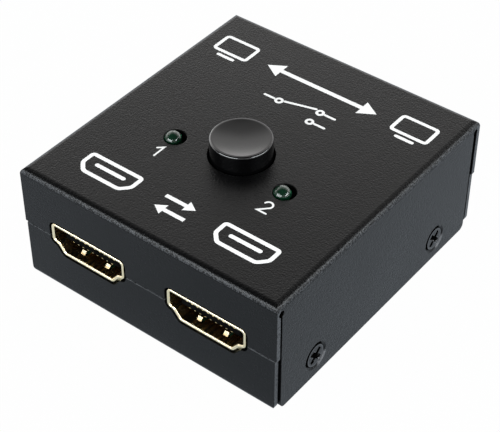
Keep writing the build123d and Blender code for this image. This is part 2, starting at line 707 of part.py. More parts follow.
def make_latch_wire():
    """The bent wire that holds the slider down: a pivot end, a leg and a tip in the groove."""
    tip_x = SLIDER_WIDTH / 2 - CAM_DEPTH + WIRE_TIP_GAP
    pivot_x = SWITCH_WIDTH / 2 - PIVOT_END
    path = FilletPolyline(
        (tip_x, WIRE_TIP_Y, WIRE_TIP_Z),
        (WIRE_X, WIRE_TIP_Y, WIRE_TIP_Z),
        (WIRE_X, 0, PIVOT_Z),
        (pivot_x, 0, PIVOT_Z),
        radius=WIRE_BEND,
    )
    start = Plane(origin=path @ 0, z_dir=path % 0)
    return Pos(0, BUTTON_Y, 0) * sweep(start * Circle(WIRE_RADIUS), path=path)


def make_button_cap():
    """The round push cap with a dished top, hollow below, pressed on the stem."""
    cap = rod(0, 0, CAP_BOTTOM, CAP_TOP, CAP_RADIUS)
    ball = (CAP_DISH_RADIUS**2 + CAP_DISH_DEPTH**2) / (2 * CAP_DISH_DEPTH)
    cap -= Pos(0, 0, CAP_TOP - CAP_DISH_DEPTH + ball) * Sphere(ball)
    rim = cap.edges().filter_by(GeomType.CIRCLE).group_by(Axis.Z)[-1].sort_by(SortBy.RADIUS)[-1]
    cap = fillet(rim, CAP_EDGE)
    hollow = rod(0, 0, CAP_BOTTOM, CAP_BOTTOM + CAP_HOLLOW_DEPTH, CAP_HOLLOW_RADIUS)
    hollow -= rod(0, 0, CAP_BOTTOM, CAP_BOTTOM + CAP_HOLLOW_DEPTH, CAP_BOSS_RADIUS)
    cap -= hollow
    cap -= centred(0, 0, CAP_BOTTOM, STEM_WIDTH, STEM_WIDTH, CAP_SOCKET_DEPTH)
    return Pos(0, BUTTON_Y, 0) * cap


def make_switch_chip():
    """The signal switch: a flat square package with its corner dot."""
    x, y = CHIP_PLACE
    chip = centred(x, y, BOARD_TOP, *CHIP_SIZE)
    chip = chamfer(chip.edges().group_by(Axis.Z)[-1], CHIP_EDGE)
    dot_x = x - CHIP_SIZE[0] / 2 + CHIP_DOT_INSET
    dot_y = y + CHIP_SIZE[1] / 2 - CHIP_DOT_INSET
    chip_top = BOARD_TOP + CHIP_SIZE[2]
    return chip - rod(dot_x, dot_y, chip_top - CHIP_EDGE, chip_top, CHIP_DOT)


def make_surge_arrays():
    """Two small protection packages behind each socket."""
    package = centred(0, 0, 0, *ARRAY_SIZE)
    package = chamfer(package.edges().group_by(Axis.Z)[-1], CHIP_EDGE)
    drop = BOARD_TOP - SOCKET_Z
    return [
        place * Pos(side * ARRAY_X, ARRAY_BEHIND, drop) * package
        for place in socket_places().values()
        for side in (-1, 1)
    ]


def make_supply_diodes():
    """One small diode for each socket's supply, a body with a flat tab at each end."""
    diodes = []
    tabs = DIODE_SIZE[0] + 2 * TAB_REACH
    for x, y in DIODE_PLACES:
        body = chamfer(centred(x, y, BOARD_TOP, *DIODE_SIZE).edges().group_by(Axis.Z)[-1], CHIP_EDGE)
        body += centred(x, y, BOARD_TOP, tabs, TAB_WIDTH, TAB_THICK)
        diodes.append(body)
    return diodes


def make_regulator():
    """The supply regulator, a small package with three leads."""
    x, y = REGULATOR_PLACE
    body = chamfer(centred(x, y, BOARD_TOP, *REGULATOR_SIZE).edges().group_by(Axis.Z)[-1], CHIP_EDGE)
    for lead_x, side in REGULATOR_LEADS:
        lead_y = y + side * REGULATOR_SIZE[1] / 2
        body += centred(x + lead_x, lead_y, BOARD_TOP, TAB_WIDTH, 2 * TAB_REACH, TAB_THICK)
    return body


def chip_part(x, y, height):
    """A tiny block along Y with slightly proud metal ends, as capacitors and resistors have."""
    length, depth = CHIP_PART_SIZE
    body = centred(0, 0, 0, length, depth - 2 * END_CAP_PROUD, height - END_CAP_PROUD)
    for side in (-1, 1):
        body += centred(side * (length - END_CAP) / 2, 0, 0, END_CAP, depth, height)
    return Pos(x, y, BOARD_TOP) * Rot(0, 0, 90) * body


def make_capacitors():
    """Six around the signal switch, four beside the regulator and the lamps."""
    chip_x, chip_y = CHIP_PLACE
    beside = CHIP_SIZE[0] / 2 + CAPACITOR_BESIDE
    places = [(chip_x + side * beside, chip_y + k * CAPACITOR_STEP) for side in (-1, 1) for k in (-1, 0, 1)]
    regulator_x, regulator_y = REGULATOR_PLACE
    places += [(regulator_x + dx, regulator_y + dy) for dx, dy in REGULATOR_CAPACITORS]
    lamp_x, lamp_y = LAMP_CAPACITOR
    places += [(-lamp_x, lamp_y), (lamp_x, lamp_y)]
    return [chip_part(x, y, CAPACITOR_HEIGHT) for x, y in places]


def make_resistors():
    """A row of six behind the push switch, and one beside each lamp."""
    middle = (RESISTOR_ROW - 1) / 2
    places = [((k - middle) * RESISTOR_STEP, RESISTOR_ROW_Y) for k in range(RESISTOR_ROW)]
    places += [(side * LAMP_RESISTOR_X, LAMP_Y) for side in (-1, 1)]
    return [chip_part(x, y, RESISTOR_HEIGHT) for x, y in places]


def socket_nodes():
    """The shell, insulator and contacts of each socket, at its place."""
    shell = make_socket_shell()
    insulator = make_insulator()
    contacts = make_contacts()
    nodes = {}
    for name, place in socket_places().items():
        nodes[f"{name}_shell"] = [place * shell]
        nodes[f"{name}_insulator"] = [place * insulator]
        nodes[f"{name}_contacts"] = [place * contact for contact in contacts]
    return nodes


def all_nodes():
    """Every node's name with its solids."""
    nodes = {
        "top_cover": [make_top_cover()],
        "bottom_tray": [make_bottom_tray()],
        "case_screws": make_case_screws(),
        "rubber_feet": make_rubber_feet(),
        "circuit_board": [make_board()],
        "board_standoffs": make_standoffs(),
        "board_screws": make_board_screws(),
        "lamp_1": [place_lamp(-1)],
        "lamp_2": [place_lamp(1)],
        "lamp_leads": make_lamp_leads(),
        "switch_base": [make_switch_base()],
        "switch_housing": [make_switch_housing()],
        "switch_terminals": make_terminals(),
        "switch_plunger": [make_plunger()],
        "contact_clips": make_contact_clips(),
        "return_spring": [make_return_spring()],
        "latch_wire": [make_latch_wire()],
        "button_cap": [make_button_cap()],
        "signal_switch_chip": [make_switch_chip()],
        "surge_arrays": make_surge_arrays(),
        "supply_diodes": make_supply_diodes(),
        "supply_regulator": [make_regulator()],
        "capacitors": make_capacitors(),
        "resistors": make_resistors(),
    }
    nodes.update(socket_nodes())
    return nodes


def solids_of(shapes):
    """The plain solids in a list of shapes."""
    return [solid for shape in shapes for solid in shape.solids()]


def write_parts():
    """One STEP file for each node."""
    os.makedirs("parts", exist_ok=True)
    for name, shapes in all_nodes().items():
        solids = solids_of(shapes)
        shape = solids[0] if len(solids) == 1 else Compound(children=solids)
        export_step(shape, f"parts/{name}.step")
        print(name, len(solids))


write_parts()
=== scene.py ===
"""Finishes, printed marks, lamp insides and studio for a small two-way video switch box."""

from __future__ import annotations

import logging
import math
from dataclasses import dataclass
from enum import Enum
from typing import Any, Iterable, Sequence

import bmesh
import bpy
from mathutils import Matrix, Vector

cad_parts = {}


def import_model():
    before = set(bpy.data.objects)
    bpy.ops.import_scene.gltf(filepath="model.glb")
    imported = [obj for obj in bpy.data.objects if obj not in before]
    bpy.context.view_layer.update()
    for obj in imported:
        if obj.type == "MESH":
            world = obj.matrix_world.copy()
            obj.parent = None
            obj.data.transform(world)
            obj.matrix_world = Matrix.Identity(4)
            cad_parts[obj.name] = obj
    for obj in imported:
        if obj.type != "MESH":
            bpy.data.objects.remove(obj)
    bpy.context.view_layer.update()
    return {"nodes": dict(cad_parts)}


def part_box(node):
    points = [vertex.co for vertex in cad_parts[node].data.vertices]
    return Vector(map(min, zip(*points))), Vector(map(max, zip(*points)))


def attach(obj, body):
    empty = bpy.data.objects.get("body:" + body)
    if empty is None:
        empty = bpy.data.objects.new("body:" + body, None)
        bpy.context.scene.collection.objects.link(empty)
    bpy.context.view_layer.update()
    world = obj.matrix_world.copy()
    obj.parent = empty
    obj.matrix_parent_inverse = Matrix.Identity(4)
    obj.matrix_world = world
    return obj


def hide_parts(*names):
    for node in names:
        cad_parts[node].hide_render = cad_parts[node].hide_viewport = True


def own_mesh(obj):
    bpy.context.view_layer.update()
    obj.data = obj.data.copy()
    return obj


LOG = logging.getLogger("switch_box")
MM = 0.001

Colour = tuple[float, float, float]
Factors = tuple[float, float, float]
Point = tuple[float, float, float]
Flat = tuple[float, float]
Span = tuple[float, float]
Pair = tuple[float, float]


class Body(Enum):
    """The frame's bodies that the added pieces ride on."""

    HOUSING = "housing"


class Operation(Enum):
    """The Math node operations that the shaders use."""

    ADD = "ADD"
    SUBTRACT = "SUBTRACT"
    MULTIPLY = "MULTIPLY"
    DIVIDE = "DIVIDE"
    ABSOLUTE = "ABSOLUTE"
    MINIMUM = "MINIMUM"
    MAXIMUM = "MAXIMUM"
    SQRT = "SQRT"
    SINE = "SINE"
    PINGPONG = "PINGPONG"


class MixSocket(Enum):
    """Where a Mix node keeps the sockets of its colour mode."""

    FACTOR = 0
    FIRST = 6
    SECOND = 7
    RESULT = 2


def grey(level: float) -> Colour:
    """Returns a neutral colour."""
    return level, level, level


class Signal:
    """A number that varies over a surface; arithmetic on it adds Math nodes."""

    def __init__(self, tree: ShaderTree, socket: bpy.types.NodeSocket) -> None:
        """Keeps the tree and the socket that carries the number.

        Args:
            tree: The shader tree that the socket belongs to.
            socket: The output that carries the number.
        """
        self.tree = tree
        self.socket = socket

    def __add__(self, other: Number) -> Signal:
        """Returns self + other."""
        return self.tree.maths(Operation.ADD, self, other)

    def __sub__(self, other: Number) -> Signal:
        """Returns self - other."""
        return self.tree.maths(Operation.SUBTRACT, self, other)

    def __rsub__(self, other: Number) -> Signal:
        """Returns other - self."""
        return self.tree.maths(Operation.SUBTRACT, other, self)

    def __mul__(self, other: Number) -> Signal:
        """Returns self * other."""
        return self.tree.maths(Operation.MULTIPLY, self, other)

    def __truediv__(self, other: Number) -> Signal:
        """Returns self / other."""
        return self.tree.maths(Operation.DIVIDE, self, other)

    def __rtruediv__(self, other: Number) -> Signal:
        """Returns other / self."""
        return self.tree.maths(Operation.DIVIDE, other, self)

    def __abs__(self) -> Signal:
        """Returns self without its sign."""
        return self.tree.maths(Operation.ABSOLUTE, self)

    __radd__ = __add__
    __rmul__ = __mul__

    def at_most(self, other: Number) -> Signal:
        """Returns the smaller of self and other."""
        return self.tree.maths(Operation.MINIMUM, self, other)

    def at_least(self, other: Number) -> Signal:
        """Returns the larger of self and other."""
        return self.tree.maths(Operation.MAXIMUM, self, other)

    def rise(self, low: float, high: float) -> Signal:
        """Turns self into a soft step.

        Args:
            low: Where the step starts from 0.
            high: Where the step reaches 1; below low for a falling step.

        Returns:
            A signal from 0 to 1.
        """
        start, end, first, last = (low, high, 0.0, 1.0) if low < high else (high, low, 1.0, 0.0)
        values = {"Value": self, "From Min": start, "From Max": end, "To Min": first, "To Max": last}
        node = self.tree.add("ShaderNodeMapRange", {"interpolation_type": "SMOOTHSTEP"}, values)
        return Signal(self.tree, node.outputs["Result"])

    def band(self, start: float, full: float, fading: float, end: float) -> Signal:
        """Turns self into a band with soft edges.

        Args:
            start: Where the band starts from 0.
            full: Where it reaches 1.
            fading: Where it begins to fall.
            end: Where it is back at 0.

        Returns:
            A signal from 0 to 1.
        """
        return self.rise(start, full) * self.rise(end, fading)


Number = Signal | float


class ShaderTree:
    """The node tree of one material, built by expressions and one method for any other node."""

    def __init__(self, owner: bpy.types.Material | bpy.types.World) -> None:
        """Empties the owner's tree.

        Args:
            owner: The material or world whose nodes are made.
        """
        owner.use_nodes = True
        self.nodes = owner.node_tree.nodes
        self.links = owner.node_tree.links
        self.nodes.clear()
        self._made: dict[str, Any] = {}

    def add(
        self, kind: str, settings: dict[str, Any] | None = None, values: dict[Any, Any] | None = None
    ) -> bpy.types.Node:
        """Adds one node.

        Args:
            kind: The node's type.
            settings: Its attributes, set first.
            values: What each input socket holds: a number, colour, signal or socket.

        Returns:
            The new node.
        """
        node = self.nodes.new(kind)
        for name, value in (settings or {}).items():
            setattr(node, name, value)
        for name, value in (values or {}).items():
            self._feed(node.inputs[name], value)
        return node

    def _feed(self, target: bpy.types.NodeSocket, value: Any) -> None:
        """Links or sets one input socket.

        Args:
            target: The input socket.
            value: What it holds: a number, colour, signal or socket.
        """
        source = value.socket if isinstance(value, Signal) else value
        if isinstance(source, bpy.types.NodeSocket):
            self.links.new(source, target)
        elif target.type == "RGBA":
            target.default_value = (*source, 1.0)
        else:
            target.default_value = source

    def maths(self, operation: Operation, *terms: Number) -> Signal:
        """Adds one Math node.

        Args:
            operation: What it does.
            *terms: Its one or two operands.

        Returns:
            Its result.
        """
        node = self.add("ShaderNodeMath", {"operation": operation.value}, dict(enumerate(terms)))
        return Signal(self, node.outputs[0])

    def length(self, first: Signal, second: Signal) -> Signal:
        """Returns the length of the flat vector (first, second)."""
        return self.maths(Operation.SQRT, first * first + second * second)

    def mixed(self, first: Any, second: Any, factor: Number) -> bpy.types.NodeSocket:
        """Mixes two colours.

        Args:
            first: The colour where factor is 0.
            second: The colour where factor is 1.
            factor: How much of second shows.

        Returns:
            The mixed colour.
        """
        values = {
            MixSocket.FACTOR.value: factor,
            MixSocket.FIRST.value: first,
            MixSocket.SECOND.value: second,
        }
        node = self.add("ShaderNodeMix", {"data_type": "RGBA"}, values)
        return node.outputs[MixSocket.RESULT.value]

    def place(self, stretch: Factors = (1.0, 1.0, 1.0)) -> bpy.types.NodeSocket:
        """Finds the place on the object, in one set of nodes for each stretch.

        Args:
            stretch: Factors on the axes.

        Returns:
            The place in millimetres, with each axis multiplied by its factor.
        """
        key = str(stretch)
        if key not in self._made:
            source = self.add("ShaderNodeTexCoord").outputs["Object"]
            factors = tuple(value / MM for value in stretch)
            node = self.add("ShaderNodeVectorMath", {"operation": "MULTIPLY"}, {0: source, 1: factors})
            self._made[key] = node.outputs["Vector"]
        return self._made[key]

    def axes(self) -> tuple[Signal, Signal, Signal]:
        """Splits the place on the object, in one set of nodes.

        Returns:
            The place along X, Y and Z in millimetres.
        """
        if "axes" not in self._made:
            node = self.add("ShaderNodeSeparateXYZ", values={0: self.place()})
            self._made["axes"] = tuple(Signal(self, output) for output in node.outputs)
        return self._made["axes"]

    def noise(self, size: float, detail: float = 2.0, stretch: Factors = (1.0, 1.0, 1.0)) -> Signal:
        """Makes an even noise.

        Args:
            size: The size of its lumps in millimetres.
            detail: How many finer layers it has.
            stretch: Factors on the axes; a small one draws the lumps out along that axis.

        Returns:
            A signal round 0.5.
        """
        values = {"Vector": self.place(stretch), "Scale": 1.0 / size, "Detail": detail}
        return Signal(self, self.add("ShaderNodeTexNoise", values=values).outputs[0])

    def cells(self, size: float) -> Signal:
        """Returns the distance from the middle of rounded cells of a size in millimetres."""
        values = {"Vector": self.place(), "Scale": 1.0 / size}
        return Signal(self, self.add("ShaderNodeTexVoronoi", values=values).outputs["Distance"])

    def bumped(self, height: Signal, depth: float, rounding: float = 0.0) -> bpy.types.NodeSocket:
        """Makes a bumpy normal.

        Args:
            height: The relief, from 0 to 1.
            depth: Its depth in millimetres.
            rounding: The radius in millimetres that sharp edges are softened to.

        Returns:
            The normal.
        """
        values: dict[str, Any] = {"Height": height, "Distance": depth * MM, "Strength": 1.0}
        if rounding:
            softened = self.add("ShaderNodeBevel", {"samples": 4}, {"Radius": rounding * MM})
            values["Normal"] = softened.outputs["Normal"]
        return self.add("ShaderNodeBump", values=values).outputs["Normal"]

    def surface(self, values: dict[str, Any]) -> None:
        """Ends the tree in one principled surface.

        Args:
            values: What its sockets hold.
        """
        shader = self.add("ShaderNodeBsdfPrincipled", values=values)
        self.add("ShaderNodeOutputMaterial", values={"Surface": shader.outputs[0]})


@dataclass(frozen=True)
class Finish:
    """A surface finish with one material of its own name.

    Attributes:
        name: The material's name.
    """

    name: str

    def material(self) -> bpy.types.Material:
        """Makes the finish's material at its first use.

        Returns:
            The material.

        Raises:
            ValueError: If the record already has a slot of the finish's name.
        """
        found = bpy.data.materials.get(self.name)
        if found is None:
            found = bpy.data.materials.new(self.name)
            found["finish"] = self.name
            self.paint(ShaderTree(found))
        elif "finish" not in found:
            raise ValueError(f"{self.name} is also the name of a slot")
        return found

    def paint(self, tree: ShaderTree) -> None:
        """Builds the finish's nodes in an empty tree."""
        raise NotImplementedError


@dataclass(frozen=True)
class ScrewPlace:
    """Where the case screws' heads are, for the finishes that follow them.

    Attributes:
        middle: Where the middle between the front and back screws lies along Y, in millimetres.
        spread: Half the distance between them in millimetres.
        height: The screws' height in millimetres.
        radius: The head's radius in millimetres.
    """

    middle: float = -0.6
    spread: float = 16.5
    height: float = 4.8
    radius: float = 2.1

    def around(self, tree: ShaderTree) -> tuple[Signal, Signal, Signal]:
        """Finds the place round the nearest screw.

        Args:
            tree: The tree that the place is worked out in.

        Returns:
            How far a point is from the screw's axis along Y away from the middle, along Z, and in all.
        """
        _, y, z = tree.axes()
        across = abs(y - self.middle) - self.spread
        along = z - self.height
        return across, along, tree.length(across, along)


SCREWS = ScrewPlace()


@dataclass(frozen=True)
class PowderCoat(Finish):
    """Baked black powder paint with a leathery grain, lighter on the sheets' cut edges where it is thin,
    with painted highlights on those edges, the bends and under the screws.

    Attributes:
        colour: The paint's own colour.
        thin: Its lighter colour on the cut edges and the bends, partly thin coat and partly a painted
            highlight.
        screw_highlight: Its colour in the painted highlight under the screws.
        roughness: The mean roughness.
        gloss: How strongly it reflects, where 0.5 is plain plastic.
        grain: The size of the grain in millimetres.
        peel: The size of the slow waves under the grain in millimetres.
        speck: The pitch of the light specks in millimetres.
        patch: The size of the glossier patches in millimetres.
        depth: The depth of the grain in millimetres.
        rounding: The radius that the sheets' sharp edges are softened to, in millimetres.
        half_width: Half the case's width in millimetres.
        half_depth: Half the case's depth in millimetres.
        seam: The height of the seam between the two sheets in millimetres.
        line: The width of the light line under the seam, partly thin coat and partly a painted highlight, in
            millimetres.
        soft: The width of that line's soft edges in millimetres.
        inset: How far in the lower sheet's lips end in millimetres.
        sheet: The sheet's thickness in millimetres.
        slack: How far off a sheet's face or edge still counts as on it, in millimetres.
        bend: From which height to which the bends catch the light, in millimetres.
        bend_reach: How far in from the case's sides a bend starts and is full, in millimetres.
        scuff: Where the painted highlight round a screw's head starts, is full, fades and ends, in
        millimetres from the head's rim.
        flake: The size of the flakes in it in millimetres.
    """

    colour: Colour = (0.0016, 0.0016, 0.0017)
    thin: Colour = (0.040, 0.042, 0.045)
    screw_highlight: Colour = (0.11, 0.11, 0.115)
    roughness: float = 0.27
    gloss: float = 0.14
    grain: float = 0.27
    peel: float = 1.4
    speck: float = 0.9
    patch: float = 14.0
    depth: float = 0.075
    rounding: float = 0.12
    half_width: float = 25.0
    half_depth: float = 27.0
    seam: float = 11.6
    line: float = 0.20
    soft: float = 0.04
    inset: float = 0.3
    sheet: float = 0.8
    slack: float = 0.05
    bend: Span = (21.55, 22.3)
    bend_reach: Span = (1.3, 1.0)
    scuff: tuple[float, float, float, float] = (0.15, 0.35, 0.60, 0.95)
    flake: float = 0.8

    def paint(self, tree: ShaderTree) -> None:
        """Builds grain and slow unevenness, lighter cut edges that are partly thin coat and partly a painted
        highlight, and painted highlights along the bends and under the screws.

        Args:
            tree: The material's empty tree.
        """
        grain = tree.noise(self.grain)
        peel = tree.noise(self.peel)
        specks = tree.cells(self.speck).rise(0.16, 0.05)
        uneven = tree.noise(self.patch)
        low, high = self.bend
        bend = self._bends(tree)
        z = tree.axes()[2]
        # Painted highlight: a lighter band along the upper bends, where they catch the light.
        worn = bend * z.rise(low, low + 0.1) * z.rise(high, high - 0.15)
        # The cut edges and the seam's line are painted lighter: partly thin coat, partly a painted
        # highlight.
        share = self._cut_edge_highlights(tree) * grain.rise(0.25, 0.55)
        share = share + uneven.rise(0.3, 0.75) * 0.02 + specks * 0.03
        share = share.at_least(worn * grain.rise(0.40, 0.62))
        painted = tree.mixed(self.colour, self.thin, share)
        tree.surface({
            # Painted highlight: lighter paint under each screw on its back half.
            "Base Color": tree.mixed(painted, self.screw_highlight, self._screw_highlights(tree)),
            "Roughness": self.roughness + grain * 0.10 - uneven * 0.06 - bend * 0.10,
            "Specular IOR Level": self.gloss,
            "Normal": tree.bumped(grain * 0.85 + peel * 0.15, self.depth, self.rounding),
        })

    def _cut_edge_highlights(self, tree: ShaderTree) -> Signal:
        """Finds the lips' ends and the line under the seam, which are painted lighter: partly thin coat,
        partly a painted highlight.

        Args:
            tree: The material's tree.

        Returns:
            A signal that is 1 there.
        """
        x, y, z = tree.axes()
        face = self.half_depth - self.sheet
        on_lip = abs(y).rise(face - self.slack, face)
        reach = abs(x) + z.rise(self.seam + self.slack, self.seam - self.slack) * self.inset
        end = reach.rise(self.half_width - 0.03, self.half_width - 0.01)
        foot = self.seam - self.line
        seam = z.band(foot - self.soft, foot, self.seam - self.soft, self.seam)
        return on_lip * end.at_least(seam)

    def _bends(self, tree: ShaderTree) -> Signal:
        """Finds the cover's upper bends.

        Args:
            tree: The material's tree.

        Returns:
            A signal that is 1 there.
        """
        x, y, z = tree.axes()
        start, full = self.bend_reach
        at_side = abs(x).rise(self.half_width - start, self.half_width - full)
        at_end = abs(y).rise(self.half_depth - start, self.half_depth - full)
        return z.rise(self.bend[0] - 0.2, self.bend[0] - 0.1) * at_side.at_least(at_end)

    def _screw_highlights(self, tree: ShaderTree) -> Signal:
        """Finds the painted highlight under each case screw, on its back half.

        Args:
            tree: The material's tree.

        Returns:
            A signal that is 1 there.
        """
        x, y, _ = tree.axes()
        across, along, out = SCREWS.around(tree)
        back = (y - SCREWS.middle).rise(-0.1, 0.1) * 2.0 - 1.0
        ring = out.band(*(SCREWS.radius + step for step in self.scuff))
        lower_back = ((across * back - along) / out).rise(1.15, 1.35)
        outside = abs(x).rise(self.half_width - 0.3, self.half_width - 0.2)
        return ring * lower_back * tree.noise(self.flake).rise(0.20, 0.55) * outside


@dataclass(frozen=True)
class GoldPlate(Finish):
    """Bright, pale gold plating over stamped sheet, brown with painted shade deep in a mouth.

    Attributes:
        pale: The lighter tone.
        deep: The redder tone in the hollows.
        inner: The darker tone past the mouth, a painted shade.
        roughness: The mean roughness.
        drawn: The size of the drawing lines along Y in millimetres.
        cloud: The size of the redder clouds in millimetres.
        pit: The pitch of the pits in millimetres.
        mouth: Where the mouths lie along Y in millimetres.
        level: The height of the mouths' middle in millimetres.
        pitch: The sockets' pitch along X in millimetres.
        finger: How far from the middle the sprung fingers stand, along X in millimetres.
        half_finger: Half the width of the part of their crests that the painted shade leaves bright, in
            millimetres.
        crest: How far from the middle their crests stay, along Z in millimetres.
    """

    pale: Colour = (0.96, 0.84, 0.57)
    deep: Colour = (0.86, 0.64, 0.32)
    inner: Colour = (0.34, 0.19, 0.06)
    roughness: float = 0.12
    drawn: float = 0.12
    cloud: float = 1.8
    pit: float = 0.7
    mouth: float = 27.0
    level: float = 11.6
    pitch: float = 11.8
    finger: float = 2.55
    half_finger: float = 0.42
    crest: float = 2.2

    def paint(self, tree: ShaderTree) -> None:
        """Builds drawn lines, clouding, tarnish and the dull inside with its painted shade.

        Args:
            tree: The material's empty tree.
        """
        lines = tree.noise(self.drawn, stretch=(1.0, 0.06, 1.0))
        cloud = tree.noise(self.cloud, 3.0)
        pits = tree.cells(self.pit).rise(0.12, 0.03)
        # Painted shade: the plating past the mouth is darkened towards the inner tone, and dulled.
        dull = self._dull_shaded_inside(tree)
        tone = tree.mixed(self.pale, self.deep, cloud.rise(0.42, 0.8) * 0.5 + pits * 0.3)
        tree.surface({
            "Base Color": tree.mixed(tone, self.inner, dull),
            "Metallic": 1.0 - pits * 0.25,
            "Roughness": self.roughness + cloud * 0.06 + lines * 0.04 + dull * 0.10,
            "Normal": tree.bumped(lines * 0.7 + pits * 0.3, 0.002, 0.05),
        })

    def _dull_shaded_inside(self, tree: ShaderTree) -> Signal:
        """Finds the dull plating past the mouth that is darkened as painted shade, except on the fingers'
        crests.

        Args:
            tree: The material's tree.

        Returns:
            A signal that is 1 there.
        """
        x, y, z = tree.axes()
        inside = abs(y).rise(self.mouth - 0.4, self.mouth - 2.2)
        from_middle = tree.maths(Operation.PINGPONG, x, self.pitch / 2)
        on_finger = abs(from_middle - self.finger).rise(self.half_finger + 0.08, self.half_finger)
        crests = abs(z - self.level).rise(self.crest, self.crest - 0.1) * on_finger
        return inside * (1.0 - crests)


@dataclass(frozen=True)
class Metal(Finish):
    """A bare or plated metal with a direction of working.

    Attributes:
        colour: Its colour.
        dull: Its colour where it is tarnished.
        roughness: The mean roughness.
        stretch: Factors on the axes that draw its lines out.
        line: The size of the lines in millimetres.
        depth: The depth of the lines in millimetres.
        stain: The size of the tarnished patches in millimetres.
    """

    colour: Colour
    dull: Colour
    roughness: float = 0.3
    stretch: Factors = (1.0, 1.0, 1.0)
    line: float = 0.15
    depth: float = 0.003
    stain: float = 1.3

    def paint(self, tree: ShaderTree) -> None:
        """Builds working lines and tarnish.

        Args:
            tree: The material's empty tree.
        """
        lines = tree.noise(self.line, 3.0, self.stretch)
        stain = tree.noise(self.stain, 3.0).rise(0.48, 0.78)
        tree.surface({
            "Base Color": tree.mixed(self.colour, self.dull, stain * 0.8),
            "Metallic": 1.0 - stain * 0.2,
            "Roughness": self.roughness + stain * 0.18 + lines * 0.08,
            "Normal": tree.bumped(lines, self.depth),
        })


@dataclass(frozen=True)
class BlackScrew(Finish):
    """Blackened steel, turned in rings, with a painted highlight on its rim, bright nicks round the cross,
    and painted shade in the recess and round the head.

    Attributes:
        steel: The blackened steel's colour.
        bare: Its colour where it is worn, on the nicks, and on the rim as a painted highlight.
        shade: The painted shade down in the cross, and in the gap round the head.
        face: How far out along X the heads' faces lie, in millimetres.
        arm: Half the width of the cross's arms in millimetres.
        reach: How far the arms reach, in millimetres.
        rings: How fast the turning rings follow each other, in radians per millimetre.
        wear: The size of the nicks in millimetres.
        glint: The size of the light spots in the cross in millimetres.
    """

    steel: Colour = grey(0.008)
    bare: Colour = (0.16, 0.16, 0.165)
    shade: Colour = grey(0.002)
    face: float = 24.98
    arm: float = 0.45
    reach: float = 1.55
    rings: float = 42.0
    wear: float = 0.35
    glint: float = 0.7

    def paint(self, tree: ShaderTree) -> None:
        """Builds turning rings, a painted highlight on the rim, nicks along the cross, and painted shade
        below the face and round the head.

        Args:
            tree: The material's empty tree.
        """
        across, along, out = SCREWS.around(tree)
        beside = abs(across + along).at_most(abs(across - along)) * math.sqrt(0.5)
        rings = tree.maths(Operation.SINE, out * self.rings) * 0.5 + 0.5
        worn = tree.noise(self.wear, 3.0).rise(0.48, 0.62)
        # Painted highlight: the rim is lighter, like bare steel, where the head's rounded edge catches the
        # light.
        rim = out.rise(SCREWS.radius - 0.42, SCREWS.radius - 0.26)
        nicks = beside.rise(self.arm + 0.22, self.arm + 0.04) * out.rise(self.reach + 0.2, self.reach)
        steel = tree.mixed(self.steel, self.bare, rim * 0.40 + nicks * worn * 0.80)
        # Painted shade: black, not metallic, below the face in the cross and in the gap round the head, with
        # painted glints left in the cross.
        glints = tree.noise(self.glint, 1.0).rise(0.60, 0.68)
        below = abs(tree.axes()[0]).rise(self.face - 0.10, self.face - 0.17)
        gap = out.rise(SCREWS.radius - 0.18, SCREWS.radius - 0.10)
        deep = (below * (1.0 - glints * 0.7)).at_least(gap)
        tree.surface({
            "Base Color": tree.mixed(steel, self.shade, deep),
            "Metallic": 1.0 - deep,
            "Roughness": 0.28 + worn * 0.12,
            "Specular IOR Level": 0.0,
            "Normal": tree.bumped(rings * 0.4 + worn * 0.6, 0.006, 0.06),
        })


@dataclass(frozen=True)
class Moulded(Finish):
    """Moulded or cast material with a fine spark-eroded texture.

    Attributes:
        colour: Its colour.
        shade: Its colour in the uneven patches.
        roughness: The mean roughness.
        texture: The size of the texture in millimetres.
        depth: The depth of the texture in millimetres.
        patch: The size of the uneven patches in millimetres.
        gloss: How strongly it reflects, where 0.5 is plain plastic.
    """

    colour: Colour
    shade: Colour
    roughness: float = 0.5
    texture: float = 0.12
    depth: float = 0.006
    patch: float = 2.5
    gloss: float = 0.5

    def paint(self, tree: ShaderTree) -> None:
        """Builds the texture and slow patches.

        Args:
            tree: The material's empty tree.
        """
        texture = tree.noise(self.texture)
        patch = tree.noise(self.patch, 3.0).rise(0.35, 0.7)
        tree.surface({
            "Base Color": tree.mixed(self.colour, self.shade, patch),
            "Roughness": self.roughness + texture * 0.12 - patch * 0.05,
            "Specular IOR Level": self.gloss,
            "Normal": tree.bumped(texture, self.depth, 0.05),
        })


